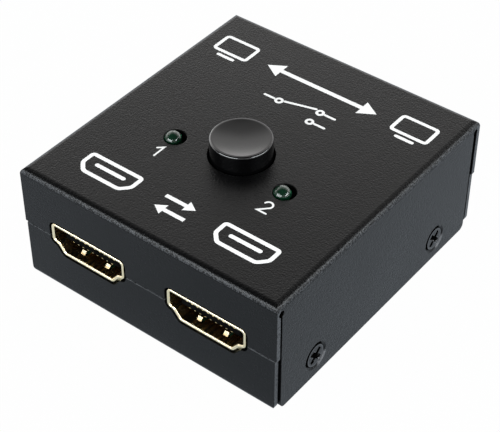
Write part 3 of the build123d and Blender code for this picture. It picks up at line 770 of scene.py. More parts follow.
@dataclass(frozen=True)
class PolishedCap(Finish):
    """Glossy black plastic with hairline scratches, dulled in the middle, with a painted highlight: a clear
    coat on its rim's front half only.

    Attributes:
        colour: The plastic's colour.
        handled: Its colour where fingers have dulled it.
        roughness: The roughness of the untouched gloss.
        gloss: How strongly it reflects, where 0.5 is plain plastic.
        scratch: The width of the scratches in millimetres.
        touch: The size of the dulled patches in millimetres.
        flow: The size of the waves from the mould in millimetres.
        centre_y: Where the cap's middle lies along Y in millimetres.
        radius: The cap's radius in millimetres.
        top: The height of its rim in millimetres.
        edge: The size of the rim's rounded edge in millimetres.
        soft: Half the width of that edge's soft ends in millimetres.
    """

    colour: Colour = (0.0010, 0.0010, 0.0011)
    handled: Colour = (0.0026, 0.0026, 0.0027)
    roughness: float = 0.13
    gloss: float = 0.36
    scratch: float = 0.10
    touch: float = 2.6
    flow: float = 1.6
    centre_y: float = -3.3
    radius: float = 5.05
    top: float = 25.9
    edge: float = 0.3
    soft: float = 0.05

    def paint(self, tree: ShaderTree) -> None:
        """Builds scratches, a handled middle, a painted highlight on the rim's front half and faint flow
        lines.

        Args:
            tree: The material's empty tree.
        """
        x, y, z = tree.axes()
        out = tree.length(x, y - self.centre_y)
        along_y = tree.noise(self.scratch, stretch=(1.0, 0.05, 1.0)).rise(0.60, 0.72)
        along_x = tree.noise(self.scratch, stretch=(0.06, 1.0, 1.0)).rise(0.60, 0.72)
        scratches = along_y + along_x
        touch = out.rise(self.radius, 1.0) * tree.noise(self.touch, 3.0).rise(0.35, 0.7)
        inner = self.radius - self.edge
        lower = self.top - self.edge
        # Painted highlight: a clear coat on the rim's front half only, to brighten its highlight.
        rim = out.rise(inner - self.soft, inner + self.soft) * z.rise(lower - self.soft, lower + self.soft)
        front = (y - self.centre_y).rise(self.radius * 0.4, -self.radius * 0.4)
        tree.surface({
            "Base Color": tree.mixed(self.colour, self.handled, touch),
            "Coat Weight": rim * front,
            "Coat Roughness": 0.08,
            "Roughness": self.roughness + touch * 0.06 + scratches * 0.03,
            "Specular IOR Level": self.gloss,
            "Normal": tree.bumped(scratches * 0.5 + tree.noise(self.flow, 1.0) * 0.5, 0.0015),
        })


@dataclass(frozen=True)
class LampResin(Finish):
    """Clear green casting resin with a little haze.

    Attributes:
        colour: The resin's colour.
        deep: Its colour at the thick flange.
        flange: The height of the flange's top in millimetres.
        haze: The size of the haze's wisps in millimetres.
        wave: The size of the waves from the mould in millimetres.
        refraction: How strongly it bends light.
    """

    colour: Colour = (0.030, 0.20, 0.095)
    deep: Colour = (0.008, 0.07, 0.03)
    flange: float = 19.3
    haze: float = 0.5
    wave: float = 0.9
    refraction: float = 1.53

    def paint(self, tree: ShaderTree) -> None:
        """Builds haze, a deeper flange and slight waves from the mould.

        Args:
            tree: The material's empty tree.
        """
        _, _, z = tree.axes()
        tree.surface({
            "Base Color": tree.mixed(self.colour, self.deep, z.rise(self.flange + 1.5, self.flange)),
            "Roughness": 0.05 + tree.noise(self.haze, 3.0) * 0.06,
            "IOR": self.refraction,
            "Specular IOR Level": 0.30,
            "Transmission Weight": 0.92,
            "Normal": tree.bumped(tree.noise(self.wave, 1.0), 0.002),
        })


@dataclass(frozen=True)
class FoamRubber(Finish):
    """Black foam rubber with open pores on its face.

    Attributes:
        colour: The rubber's colour.
        dusty: Its colour where it is scuffed.
        pore: The pitch of the pores in millimetres.
        scuff: The size of the scuffed patches in millimetres.
    """

    colour: Colour = grey(0.012)
    dusty: Colour = (0.050, 0.049, 0.047)
    pore: float = 0.28
    scuff: float = 1.7

    def paint(self, tree: ShaderTree) -> None:
        """Builds pores and dusty scuffs.

        Args:
            tree: The material's empty tree.
        """
        pores = tree.cells(self.pore).rise(0.1, 0.42)
        scuff = tree.noise(self.scuff, 4.0).rise(0.5, 0.75)
        tree.surface({
            "Base Color": tree.mixed(self.colour, self.dusty, scuff),
            "Roughness": 0.82 + pores * 0.12,
            "Normal": tree.bumped(pores, 0.05, 0.1),
        })


@dataclass(frozen=True)
class BoardLaminate(Finish):
    """Green solder mask over copper tracks, with tinned pads and pale fibre edges.

    Attributes:
        copper: The mask's colour over copper.
        bare: Its colour between the tracks.
        tin: The colour of the tinned pads.
        fibre: The colour of the cut edges.
        half_width: Half the board's width in millimetres.
        half_depth: Half the board's depth in millimetres.
        track: The pitch of the tracks in millimetres.
        line: Where the ground between two tracks starts and is full, in millimetres from the middle.
        zone: The size of the areas whose tracks run one way, in millimetres.
        wander: How far the tracks wander in millimetres.
        curve: The size of their curves in millimetres.
        via: The pitch of the pads in millimetres.
        weave: The size of the weave that shows through the mask in millimetres.
    """

    copper: Colour = (0.010, 0.070, 0.034)
    bare: Colour = (0.006, 0.040, 0.022)
    tin: Colour = (0.62, 0.60, 0.56)
    fibre: Colour = (0.36, 0.33, 0.20)
    half_width: float = 22.5
    half_depth: float = 25.5
    track: float = 0.95
    line: Span = (0.12, 0.19)
    zone: float = 9.0
    wander: float = 1.6
    curve: float = 5.0
    via: float = 2.1
    weave: float = 0.3

    def paint(self, tree: ShaderTree) -> None:
        """Builds tracks, pads, mask and cut edges.

        Args:
            tree: The material's empty tree.
        """
        x, y, _ = tree.axes()
        wander = tree.noise(self.curve, 1.0) * self.wander
        fold = tree.maths(Operation.PINGPONG, x + wander, self.track / 2)
        across = tree.maths(Operation.PINGPONG, y + wander, self.track / 2)
        zone = tree.noise(self.zone, 0.0).rise(0.48, 0.52)
        lines = fold.rise(*self.line) * zone + across.rise(*self.line) * (1.0 - zone)
        vias = tree.cells(self.via).rise(0.17, 0.12)
        side = abs(x).rise(self.half_width - 0.03, self.half_width)
        edge = side.at_least(abs(y).rise(self.half_depth - 0.03, self.half_depth))
        dressed = tree.mixed(tree.mixed(self.copper, self.bare, lines), self.tin, vias)
        tree.surface({
            "Base Color": tree.mixed(dressed, self.fibre, edge),
            "Metallic": vias * 0.9,
            "Roughness": 0.26 + edge * 0.5 + tree.noise(self.weave) * 0.1,
            "Normal": tree.bumped((1.0 - lines) * 0.7 + vias * 0.3, 0.035),
        })


@dataclass(frozen=True)
class EndedChip(Finish):
    """A fired ceramic block with tinned ends.

    Attributes:
        body: The ceramic's colour.
        first: The place along Y of one block's middle in millimetres.
        pitch: The pitch that all the blocks' middles keep along Y in millimetres.
        half: Half the length of the bare ceramic in millimetres.
        tin: The ends' colour.
        speck: The size of the ceramic's specks in millimetres.
    """

    body: Colour
    first: float
    pitch: float
    half: float = 0.5
    tin: Colour = (0.66, 0.66, 0.64)
    speck: float = 0.12

    def paint(self, tree: ShaderTree) -> None:
        """Builds ceramic with tinned ends.

        Args:
            tree: The material's empty tree.
        """
        _, y, _ = tree.axes()
        along = tree.maths(Operation.PINGPONG, y - self.first, self.pitch / 2)
        ends = along.rise(self.half - 0.02, self.half + 0.02)
        speck = tree.noise(self.speck, 3.0)
        ceramic = tree.mixed(self.body, tuple(value * 0.7 for value in self.body), speck)
        tree.surface({
            "Base Color": tree.mixed(ceramic, self.tin, ends),
            "Metallic": ends * 0.95,
            "Roughness": 0.55 - ends * 0.2 + speck * 0.1,
            "Normal": tree.bumped(speck, 0.01, 0.04),
        })


@dataclass(frozen=True)
class WhiteInk(Finish):
    """Screen-printed white ink that lies thinly over the paint's grain.

    Attributes:
        colour: The ink's colour.
        thin: Its colour where the dark paint shows through.
        grain: The size of the thin spots in millimetres.
    """

    colour: Colour = (0.82, 0.82, 0.81)
    thin: Colour = (0.58, 0.58, 0.57)
    grain: float = 0.42

    def paint(self, tree: ShaderTree) -> None:
        """Builds thin spots and the ink's own relief.

        Args:
            tree: The material's empty tree.
        """
        grain = tree.noise(self.grain, 3.0)
        tree.surface({
            "Base Color": tree.mixed(self.colour, self.thin, grain.rise(0.66, 0.86)),
            "Roughness": 0.55 + grain * 0.15,
            "Specular IOR Level": 0.3,
            "Normal": tree.bumped(grain, 0.010),
        })


@dataclass(frozen=True)
class StudioFloor(Finish):
    """Pale floor that shows as white, and keeps a trace of the object's shadow; in reflections it shows
    painted shade in front of the near corner and painted light further out.

    Attributes:
        colour: The floor's colour.
        mirrored: The cooler tone that glossy surfaces pick up from it near the object.
        corner_shade: That tone in front of the near corner, a painted shade.
        falls_along: From where to where along X it falls to that, in millimetres.
        falls_before: From where to where along Y the fall sets in, in millimetres.
        lit_far: That tone further out in front and at the sides, where the lights stand, a painted pool of
            light.
        behind: The direction along X and Y in which the floor keeps the near tone far out too.
        turning: How much of that direction a place has where the far tone starts and is full.
        reach: The distances in millimetres between which the near tone turns into the far one.
        shown: How much of it is plain white to the camera.
        picked_up: How much of it is that cooler tone in reflections.
    """

    colour: Colour = (0.45, 0.47, 0.50)
    mirrored: Colour = (0.84, 0.93, 1.02)
    corner_shade: Colour = (0.60, 0.68, 0.75)
    falls_along: Span = (-50.0, 20.0)
    falls_before: Span = (-27.0, -30.0)
    lit_far: Colour = (2.6, 2.7, 2.8)
    behind: Flat = (-0.613, 0.790)
    turning: Span = (0.5, 0.2)
    reach: Span = (60.0, 160.0)
    shown: float = 0.985
    picked_up: float = 0.75

    def paint(self, tree: ShaderTree) -> None:
        """Mixes the lit floor with a plain tone, whose reflected part carries painted shade and painted
        light.

        Args:
            tree: The material's empty tree.
        """
        path = tree.add("ShaderNodeLightPath").outputs
        names = ("Is Camera Ray", "Is Glossy Ray", "Is Transmission Ray")
        camera, glossy, through = (Signal(tree, path[name]) for name in names)
        seen = camera.at_least(through)
        x, y, _ = tree.axes()
        out = tree.length(x, y)
        backwards = (x * self.behind[0] + y * self.behind[1]) / out
        # Painted shade in front of the near corner and painted light further out, for reflections only.
        far = out.rise(*self.reach) * backwards.rise(*self.turning)
        falling = x.rise(*self.falls_along) * y.rise(*self.falls_before)
        mirrored = tree.mixed(tree.mixed(self.mirrored, self.corner_shade, falling), self.lit_far, far)
        tone = tree.mixed(mirrored, grey(1.0), seen)
        lit = tree.add("ShaderNodeBsdfDiffuse", values={"Color": self.colour})
        plain = tree.add("ShaderNodeEmission", values={"Color": tone, "Strength": 1.0})
        share = (seen * self.shown).at_least(glossy * self.picked_up)
        mixed = tree.add("ShaderNodeMixShader", values={0: share, 1: lit.outputs[0], 2: plain.outputs[0]})
        tree.add("ShaderNodeOutputMaterial", values={"Surface": mixed.outputs[0]})


POWDER_COAT = PowderCoat("powder_coat_black")
GOLD = GoldPlate("gold_plate_pale")
CONTACT_GOLD = GoldPlate(
    "rubbed_gold",
    pale=(0.94, 0.78, 0.46),
    deep=(0.78, 0.54, 0.24),
    inner=(0.70, 0.48, 0.20),
    roughness=0.20,
    drawn=0.08,
)
SCREW = BlackScrew("blackened_screw")
CAP = PolishedCap("cap_polished_black")
RESIN = LampResin("lamp_resin_green")
FOAM = FoamRubber("foam_rubber")
BOARD = BoardLaminate("board_green")
INK = WhiteInk("white_ink")
FLOOR = StudioFloor("studio_floor")
ZINC = Metal("zinc_plate", (0.60, 0.61, 0.60), (0.42, 0.42, 0.40), roughness=0.34)
TIN = Metal("tinned_copper", (0.74, 0.74, 0.72), (0.52, 0.52, 0.50), stretch=(1.0, 1.0, 0.2))
FRAME_SILVER = Metal("lamp_frame_silver", (0.88, 0.89, 0.88), (0.70, 0.72, 0.70), roughness=0.18)
SPRING = Metal(
    "spring_wire", grey(0.50), (0.30, 0.29, 0.28), roughness=0.26, stretch=(1.0, 0.1, 1.0), line=0.06
)
BRONZE = Metal(
    "rolled_bronze",
    (0.70, 0.45, 0.22),
    (0.42, 0.25, 0.12),
    roughness=0.28,
    stretch=(0.1, 1.0, 1.0),
    line=0.08,
)
INSULATOR = Moulded(
    "insulator_moulding", grey(0.002), grey(0.004), roughness=0.55, texture=0.10, depth=0.004, gloss=0.0
)
SWITCH_BLACK = Moulded("switch_moulding", grey(0.014), (0.022, 0.022, 0.021), roughness=0.46)
PLUNGER = Moulded(
    "plunger_moulding",
    (0.74, 0.74, 0.70),
    (0.64, 0.63, 0.58),
    roughness=0.32,
    texture=0.15,
    depth=0.003,
)
CHIP = Moulded(
    "chip_epoxy", (0.018, 0.018, 0.019), grey(0.030), roughness=0.60, texture=0.06, patch=1.2
)
CAPACITOR = EndedChip("capacitor_ceramic", (0.42, 0.29, 0.16), first=7.6, pitch=2.4)
RESISTOR = EndedChip("resistor_ceramic", (0.022, 0.022, 0.026), first=2.5, pitch=8.95)


def arc(centre: Flat, radius: float, start: float, end: float, steps: int = 16) -> list[Flat]:
    """Makes points along an arc.

    Args:
        centre: The arc's centre.
        radius: Its radius.
        start: The first point's angle in degrees.
        end: The last point's angle in degrees.
        steps: How many stretches it has.

    Returns:
        The points in order.
    """
    angles = [math.radians(start + (end - start) * step / steps) for step in range(steps + 1)]
    return [(centre[0] + radius * math.cos(angle), centre[1] + radius * math.sin(angle)) for angle in angles]


def rectangle(half_width: float, half_depth: float, centre: Flat = (0.0, 0.0)) -> list[Flat]:
    """Makes the corners of a rectangle.

    Args:
        half_width: Half its width along X.
        half_depth: Half its depth along Y.
        centre: Its middle.

    Returns:
        The corners in order.
    """
    signs = ((-1, -1), (1, -1), (1, 1), (-1, 1))
    return [(centre[0] + x * half_width, centre[1] + y * half_depth) for x, y in signs]


def rounded_outline(corners: Sequence[Flat], radius: float, steps: int = 6) -> list[Flat]:
    """Rounds the corners of a closed outline.

    Args:
        corners: The sharp corners in order.
        radius: How far from each corner the rounding starts.
        steps: How many stretches each corner gets.

    Returns:
        The rounded outline's points.
    """
    points = []
    for index, corner in enumerate(corners):
        here = Vector(corner)
        before = (Vector(corners[index - 1]) - here).normalized() * radius + here
        after = (Vector(corners[(index + 1) % len(corners)]) - here).normalized() * radius + here
        for step in range(steps + 1):
            share = step / steps
            point = before * (1 - share) ** 2 + here * 2 * share * (1 - share) + after * share**2
            points.append((point.x, point.y))
    return points


def offset_points(
    points: Sequence[Flat], distance: float, closed: bool, sharpest: float = 0.35
) -> list[Vector]:
    """Moves a line sideways, with mitred corners.

    Args:
        points: The line's points.
        distance: How far to the left each point moves.
        closed: Whether the last point joins the first.
        sharpest: The cosine of half the turn from which a corner is mitred no further.

    Returns:
        The moved points.
    """
    moved = []
    count = len(points)
    for index in range(count):
        here = Vector(points[index])
        before = Vector(points[index - 1]) if closed or index else None
        after = Vector(points[(index + 1) % count]) if closed or index < count - 1 else None
        arriving = (here - before).normalized() if before else None
        leaving = (after - here).normalized() if after else None
        first = arriving or leaving
        second = leaving or arriving
        left = Vector((-first.y, first.x))
        normal = (left + Vector((-second.y, second.x))).normalized()
        moved.append(here + normal * (distance / max(sharpest, normal.dot(left))))
    return moved


class MeshMaker:
    """Gathers closed shapes in millimetres, and makes one object of them in metres."""

    def __init__(self) -> None:
        """Starts with no shapes."""
        self.bm = bmesh.new()

    def slab(self, faces: Iterable[Sequence[Vector | Flat]], low: float, high: float) -> None:
        """Adds flat faces that share edges, given thickness.

        Args:
            faces: The faces' corners.
            low: The height of the bottom.
            high: The height of the top.
        """
        made: dict[Flat, bmesh.types.BMVert] = {}

        def corner(point: Vector | Flat) -> bmesh.types.BMVert:
            """Finds the vertex at a point of the bottom, or makes it.

            Args:
                point: The point.

            Returns:
                The vertex.
            """
            key = (round(point[0], 5), round(point[1], 5))
            if key not in made:
                made[key] = self.bm.verts.new((point[0], point[1], low))
            return made[key]

        flat = [self.bm.faces.new([corner(point) for point in face]) for face in faces]
        raised = bmesh.ops.extrude_face_region(self.bm, geom=flat, use_keep_orig=True)["geom"]
        verts = [part for part in raised if isinstance(part, bmesh.types.BMVert)]
        bmesh.ops.translate(self.bm, vec=(0, 0, high - low), verts=verts)

    def stroke(
        self, points: Sequence[Flat], width: float, low: float, high: float, closed: bool = False
    ) -> None:
        """Adds a line of even width, with round ends where it is open.

        Args:
            points: The line's points.
            width: Its width.
            low: The height of its bottom.
            high: The height of its top.
            closed: Whether it is a ring.
        """
        half = width / 2
        left = offset_points(points, half, closed)
        right = offset_points(points, -half, closed)
        count = len(points)
        pairs = [(index, (index + 1) % count) for index in range(count if closed else count - 1)]
        faces = [(left[here], left[after], right[after], right[here]) for here, after in pairs]
        if not closed:
            faces.append(self._round_end(points[0], points[1], half))
            faces.append(self._round_end(points[-1], points[-2], half))
        self.slab(faces, low, high)

    def _round_end(self, end: Flat, inside: Flat, half: float) -> list[Flat]:
        """Makes the half disc that closes a stroke's end.

        Args:
            end: The stroke's last point.
            inside: The point before it.
            half: Half the stroke's width.

        Returns:
            The half disc's points.
        """
        away = Vector(end) - Vector(inside)
        angle = math.degrees(math.atan2(away.y, away.x))
        return arc(end, half, angle - 90, angle + 90, 10)

    def turned(self, profile: Sequence[Flat], centre: Flat, segments: int = 32) -> None:
        """Adds a turned solid round an upright axis.

        Args:
            profile: Points (radius, height) from the bottom of the axis to its top.
            centre: Where the axis stands.
            segments: How many sides it has.
        """
        rings = []
        for radius, height in profile:
            if radius == 0:
                rings.append([self.bm.verts.new((*centre, height))])
                continue
            circle = arc(centre, radius, 0, 360 * (segments - 1) / segments, segments - 1)
            rings.append([self.bm.verts.new((*point, height)) for point in circle])
        for lower, upper in zip(rings, rings[1:]):
            for index in range(segments):
                after = (index + 1) % segments
                corners = [lower[index % len(lower)], lower[after % len(lower)]]
                corners += [upper[after % len(upper)], upper[index % len(upper)]]
                unique = list(dict.fromkeys(corners))
                if len(unique) > 2:
                    self.bm.faces.new(unique)

    def wire(self, path: Sequence[Vector], radius: float, sides: int = 10) -> None:
        """Adds a round wire along a path.

        Args:
            path: The points of its middle line.
            radius: Its radius.
            sides: How many sides it has.
        """
        rings = []
        side = None
        for index, point in enumerate(path):
            ahead = path[min(index + 1, len(path) - 1)] - path[max(index - 1, 0)]
            ahead.normalize()
            if side is None:
                side = ahead.orthogonal().normalized()
            side = (side - ahead * side.dot(ahead)).normalized()
            up = ahead.cross(side)
            ring = []
            for step in range(sides):
                angle = math.tau * step / sides
                spoke = side * math.cos(angle) + up * math.sin(angle)
                ring.append(self.bm.verts.new(point + spoke * radius))
            rings.append(ring)
        for lower, upper in zip(rings, rings[1:]):
            for index in range(sides):
                after = (index + 1) % sides
                self.bm.faces.new((lower[index], lower[after], upper[after], upper[index]))
        self.bm.faces.new(rings[0])
        self.bm.faces.new(rings[-1])

    def finish(self, name: str, finish: Finish, smooth: float = 35.0) -> bpy.types.Object:
        """Makes the object.

        Args:
            name: The object's name.
            finish: What it is finished in.
            smooth: The angle in degrees under which its edges shade smoothly.

        Returns:
            The object, at the frame's origin.
        """
        bmesh.ops.recalc_face_normals(self.bm, faces=self.bm.faces)
        bmesh.ops.scale(self.bm, vec=(MM, MM, MM), verts=self.bm.verts)
        for face in self.bm.faces:
            face.smooth = True
        for edge in self.bm.edges:
            edge.smooth = len(edge.link_faces) == 2 and edge.calc_face_angle(0.0) < math.radians(smooth)
        mesh = bpy.data.meshes.new(name)
        self.bm.to_mesh(mesh)
        self.bm.free()
        mesh.materials.append(finish.material())
        piece = bpy.data.objects.new(name, mesh)
        bpy.context.scene.collection.objects.link(piece)
        return piece


class InkMark(MeshMaker):
    """One printed mark, drawn round its own centre."""

    def __init__(self, at: Flat, cover: float, ink: float) -> None:
        """Starts an empty mark.

        Args:
            at: The mark's centre on the cover.
            cover: The height of the cover.
            ink: How far the ink reaches above and below that.
        """
        super().__init__()
        self.at = at
        self.low = cover - ink
        self.high = cover + ink

    def line(self, points: Sequence[Flat], width: float, closed: bool = False) -> None:
        """Adds a stroke.

        Args:
            points: Its points from the mark's centre.
            width: Its width.
            closed: Whether it is a ring.
        """
        self.stroke(self._moved(points), width, self.low, self.high, closed)

    def area(self, points: Sequence[Flat]) -> None:
        """Adds a filled outline, given by its points from the mark's centre."""
        self.slab([self._moved(points)], self.low, self.high)

    def _moved(self, points: Sequence[Flat]) -> list[Flat]:
        """Returns points from the mark's centre as places on the cover."""
        return [(self.at[0] + x, self.at[1] + y) for x, y in points]


@dataclass
class Assembly:
    """A part of the box that dresses its nodes and adds its pieces.

    Attributes:
        nodes: The frame's nodes by name.
    """

    nodes: dict[str, bpy.types.Object]

    def dress(self, finish: Finish, *names: str) -> None:
        """Gives nodes a finish.

        Args:
            finish: The finish.
            *names: The nodes' names.
        """
        for name in names:
            slots = self.nodes[name].data.materials
            slots.clear()
            slots.append(finish.material())
            LOG.info("%s is finished in %s", name, finish.name)

    def carry(self, piece: bpy.types.Object, body: Body, slot: str) -> bpy.types.Object:
        """Puts a new piece on its body.

        Args:
            piece: The piece.
            body: The body that it rides on.
            slot: The record's slot of its finish; not used.

        Returns:
            The same piece.
        """
        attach(piece, body.value)
        LOG.info("%s rides on %s", piece.name, body.value)
        return piece

    def build(self) -> None:
        """Dresses the nodes and makes the pieces."""
        raise NotImplementedError


@dataclass
class Case(Assembly):
    """The folded cover and tray with their screws and feet."""

    def build(self) -> None:
        """Dresses the case."""
        self.dress(POWDER_COAT, "top_cover", "bottom_tray")
        self.dress(SCREW, "case_screws")
        self.dress(FOAM, "rubber_feet")


@dataclass
class Sockets(Assembly):
    """The three video sockets."""

    def build(self) -> None:
        """Dresses each socket's shell, insulator and contacts."""
        for socket in ("socket_1", "socket_2", "common_socket"):
            self.dress(GOLD, f"{socket}_shell")
            self.dress(INSULATOR, f"{socket}_insulator")
            self.dress(CONTACT_GOLD, f"{socket}_contacts")


@dataclass
class Lamps(Assembly):
    """The two green lamps, with the metal frame that shows through the resin.

    Attributes:
        centres: The lamps' names, and where they stand.
        dome_top: The height of their tops.
        frame_low: How far under the top the frame's broad part starts.
        rim_low: How far under the top the cup's rim is.
        cup_left: How far to the left of a lamp's middle its cup stands.
        post_right: How far to the right of it its post stands.
        stem: The radius of the cup's stem.
        cup: The radius of the cup's rim.
        wall: The thickness of the cup's wall at the rim.
        well: The radius of the cup's floor, and how deep it lies under the rim.
        post: Half the post's width and depth.
        post_low: How far under the rim the post's top is.
        die: Half the die's width, and its thickness.
        bond: The bond wire's radius, and how high it arches.
        bond_steps: How many stretches the bond wire has.

    All sizes are in millimetres.
    """

    centres: tuple[tuple[str, Flat], ...] = (("lamp_1", (-11.08, -6.67)), ("lamp_2", (10.52, -6.67)))
    dome_top: float = 23.6
    frame_low: float = 4.2
    rim_low: float = 2.5
    cup_left: float = 0.322
    post_right: float = 0.713
    stem: float = 0.30
    cup: float = 0.62
    wall: float = 0.10
    well: Pair = (0.26, 0.28)
    post: Pair = (0.16, 0.30)
    post_low: float = 0.05
    die: Pair = (0.12, 0.12)
    bond: Pair = (0.02, 0.28)
    bond_steps: int = 12

    def build(self) -> None:
        """Dresses the lamps, and makes the frames inside them."""
        for name, (x, y) in self.centres:
            self.dress(RESIN, name)
            cup_at = (x - self.cup_left, y)
            post_at = (x + self.post_right, y)
            self._add(f"{name}_cup", self._cup(cup_at), FRAME_SILVER, "tinned_wire")
            self._add(f"{name}_post", self._post(post_at), FRAME_SILVER, "tinned_wire")
            self._add(f"{name}_die", self._die(cup_at), CONTACT_GOLD, "contact_gold")
            self._add(f"{name}_bond_wire", self._bond_wire(cup_at, post_at), CONTACT_GOLD, "contact_gold")
        self.dress(TIN, "lamp_leads")

    @property
    def rim(self) -> float:
        """Returns the height of the cup's rim."""
        return self.dome_top - self.rim_low

    @property
    def die_top(self) -> float:
        """Returns the height of the die's top."""
        return self.rim - self.well[1] + self.die[1]

    def _add(self, name: str, maker: MeshMaker, finish: Finish, slot: str) -> None:
        """Makes one piece of the frame, and puts it on the housing.

        Args:
            name: The piece's name.
            maker: Its mesh.
            finish: What it is finished in.
            slot: The record's slot of that finish.
        """
        self.carry(maker.finish(name, finish), Body.HOUSING, slot)

    def _cup(self, at: Flat) -> MeshMaker:
        """Turns the cup on its stem.

        Args:
            at: Where it stands.

        Returns:
            Its mesh.
        """
        low = self.dome_top - self.frame_low
        floor, depth = self.well
        profile = [
            (0.0, low),
            (self.stem, low),
            (self.stem + 0.04, self.rim - 0.55),
            (self.cup, self.rim - self.wall),
            (self.cup, self.rim),
            (self.cup - self.wall, self.rim),
            (floor, self.rim - depth),
            (0.0, self.rim - depth),
        ]
        maker = MeshMaker()
        maker.turned(profile, at)
        return maker

    def _post(self, at: Flat) -> MeshMaker:
        """Makes the post that the bond wire ends on.

        Args:
            at: Where it stands.

        Returns:
            Its mesh.
        """
        maker = MeshMaker()
        outline = rounded_outline(rectangle(*self.post, at), 0.06, 3)
        maker.slab([outline], self.dome_top - self.frame_low, self.rim - self.post_low)
        return maker

    def _die(self, at: Flat) -> MeshMaker:
        """Makes the die on the cup's floor.

        Args:
            at: Where it lies.

        Returns:
            Its mesh.
        """
        half, thickness = self.die
        maker = MeshMaker()
        maker.slab([rectangle(half, half, at)], self.die_top - thickness, self.die_top)
        return maker

    def _bond_wire(self, start: Flat, end: Flat) -> MeshMaker:
        """Makes the arched wire from the die to the post.

        Args:
            start: Where the die is.
            end: Where the post is.

        Returns:
            Its mesh.
        """
        radius, arch = self.bond
        first = Vector((*start, self.die_top))
        last = Vector((*end, self.rim - self.post_low))
        path = []
        for step in range(self.bond_steps + 1):
            share = step / self.bond_steps
            path.append(first.lerp(last, share) + Vector((0, 0, arch * math.sin(math.pi * share))))
        maker = MeshMaker()
        maker.wire(path, radius, 6)
        return maker


@dataclass
class PushSwitch(Assembly):
    """The push switch under the cap, with its return spring wound in full.

    Attributes:
        turns: The spring's working turns.
        steps: How many stretches each of its turns has.
        wire: The radius of its wire in millimetres.
        travel: The button's travel in metres; not used.
    """

    turns: float = 6.0
    steps: int = 24
    wire: float = 0.15
    travel: float = 0.0022

    def build(self) -> None:
        """Dresses the switch, and winds its spring."""
        self.dress(CAP, "button_cap")
        self.dress(SWITCH_BLACK, "switch_base", "switch_housing")
        self.dress(TIN, "switch_terminals")
        self.dress(PLUNGER, "switch_plunger")
        self.dress(BRONZE, "contact_clips")
        self.dress(SPRING, "latch_wire")
        self._wind_spring()

    def _wind_spring(self) -> None:
        """Winds the spring with closed end turns, in the space that its node holds."""
        low, high = (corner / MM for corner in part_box("return_spring"))
        centre = (low + high) / 2
        coil = (high.x - low.x) / 2 - self.wire
        height = high.z - low.z - 2 * self.wire
        path = []
        for step in range(int((self.turns + 2) * self.steps) + 1):
            turn = step / self.steps
            angle = math.tau * turn
            path.append(Vector((
                centre.x + coil * math.cos(angle),
                centre.y + coil * math.sin(angle),
                low.z + self.wire + height * self._climb(turn, 2 * self.wire / height),
            )))
        maker = MeshMaker()
        maker.wire(path, self.wire)
        spring = self.carry(maker.finish("wound_spring", SPRING, 60.0), Body.HOUSING, "spring_steel")
        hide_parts("return_spring")
        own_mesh(spring)

    def _climb(self, turn: float, closed: float) -> float:
        """Finds how far up the spring a place on its wire is.

        Args:
            turn: The turns from the wire's lower end to the place.
            closed: The share of the height that one closed end turn takes.

        Returns:
            The share of the height, from 0 to 1.
        """
        if turn <= 1:
            return closed * turn
        if turn >= self.turns + 1:
            return 1 - closed * (self.turns + 2 - turn)
        return closed + (1 - 2 * closed) * (turn - 1) / self.turns


@dataclass
class Board(Assembly):
    """The circuit board with all that is on it."""

    def build(self) -> None:
        """Dresses the board and its parts."""
        self.dress(BOARD, "circuit_board")
        self.dress(ZINC, "board_standoffs", "board_screws")
        self.dress(CHIP, "signal_switch_chip", "surge_arrays", "supply_diodes", "supply_regulator")
        self.dress(CAPACITOR, "capacitors")
        self.dress(RESISTOR, "resistors")


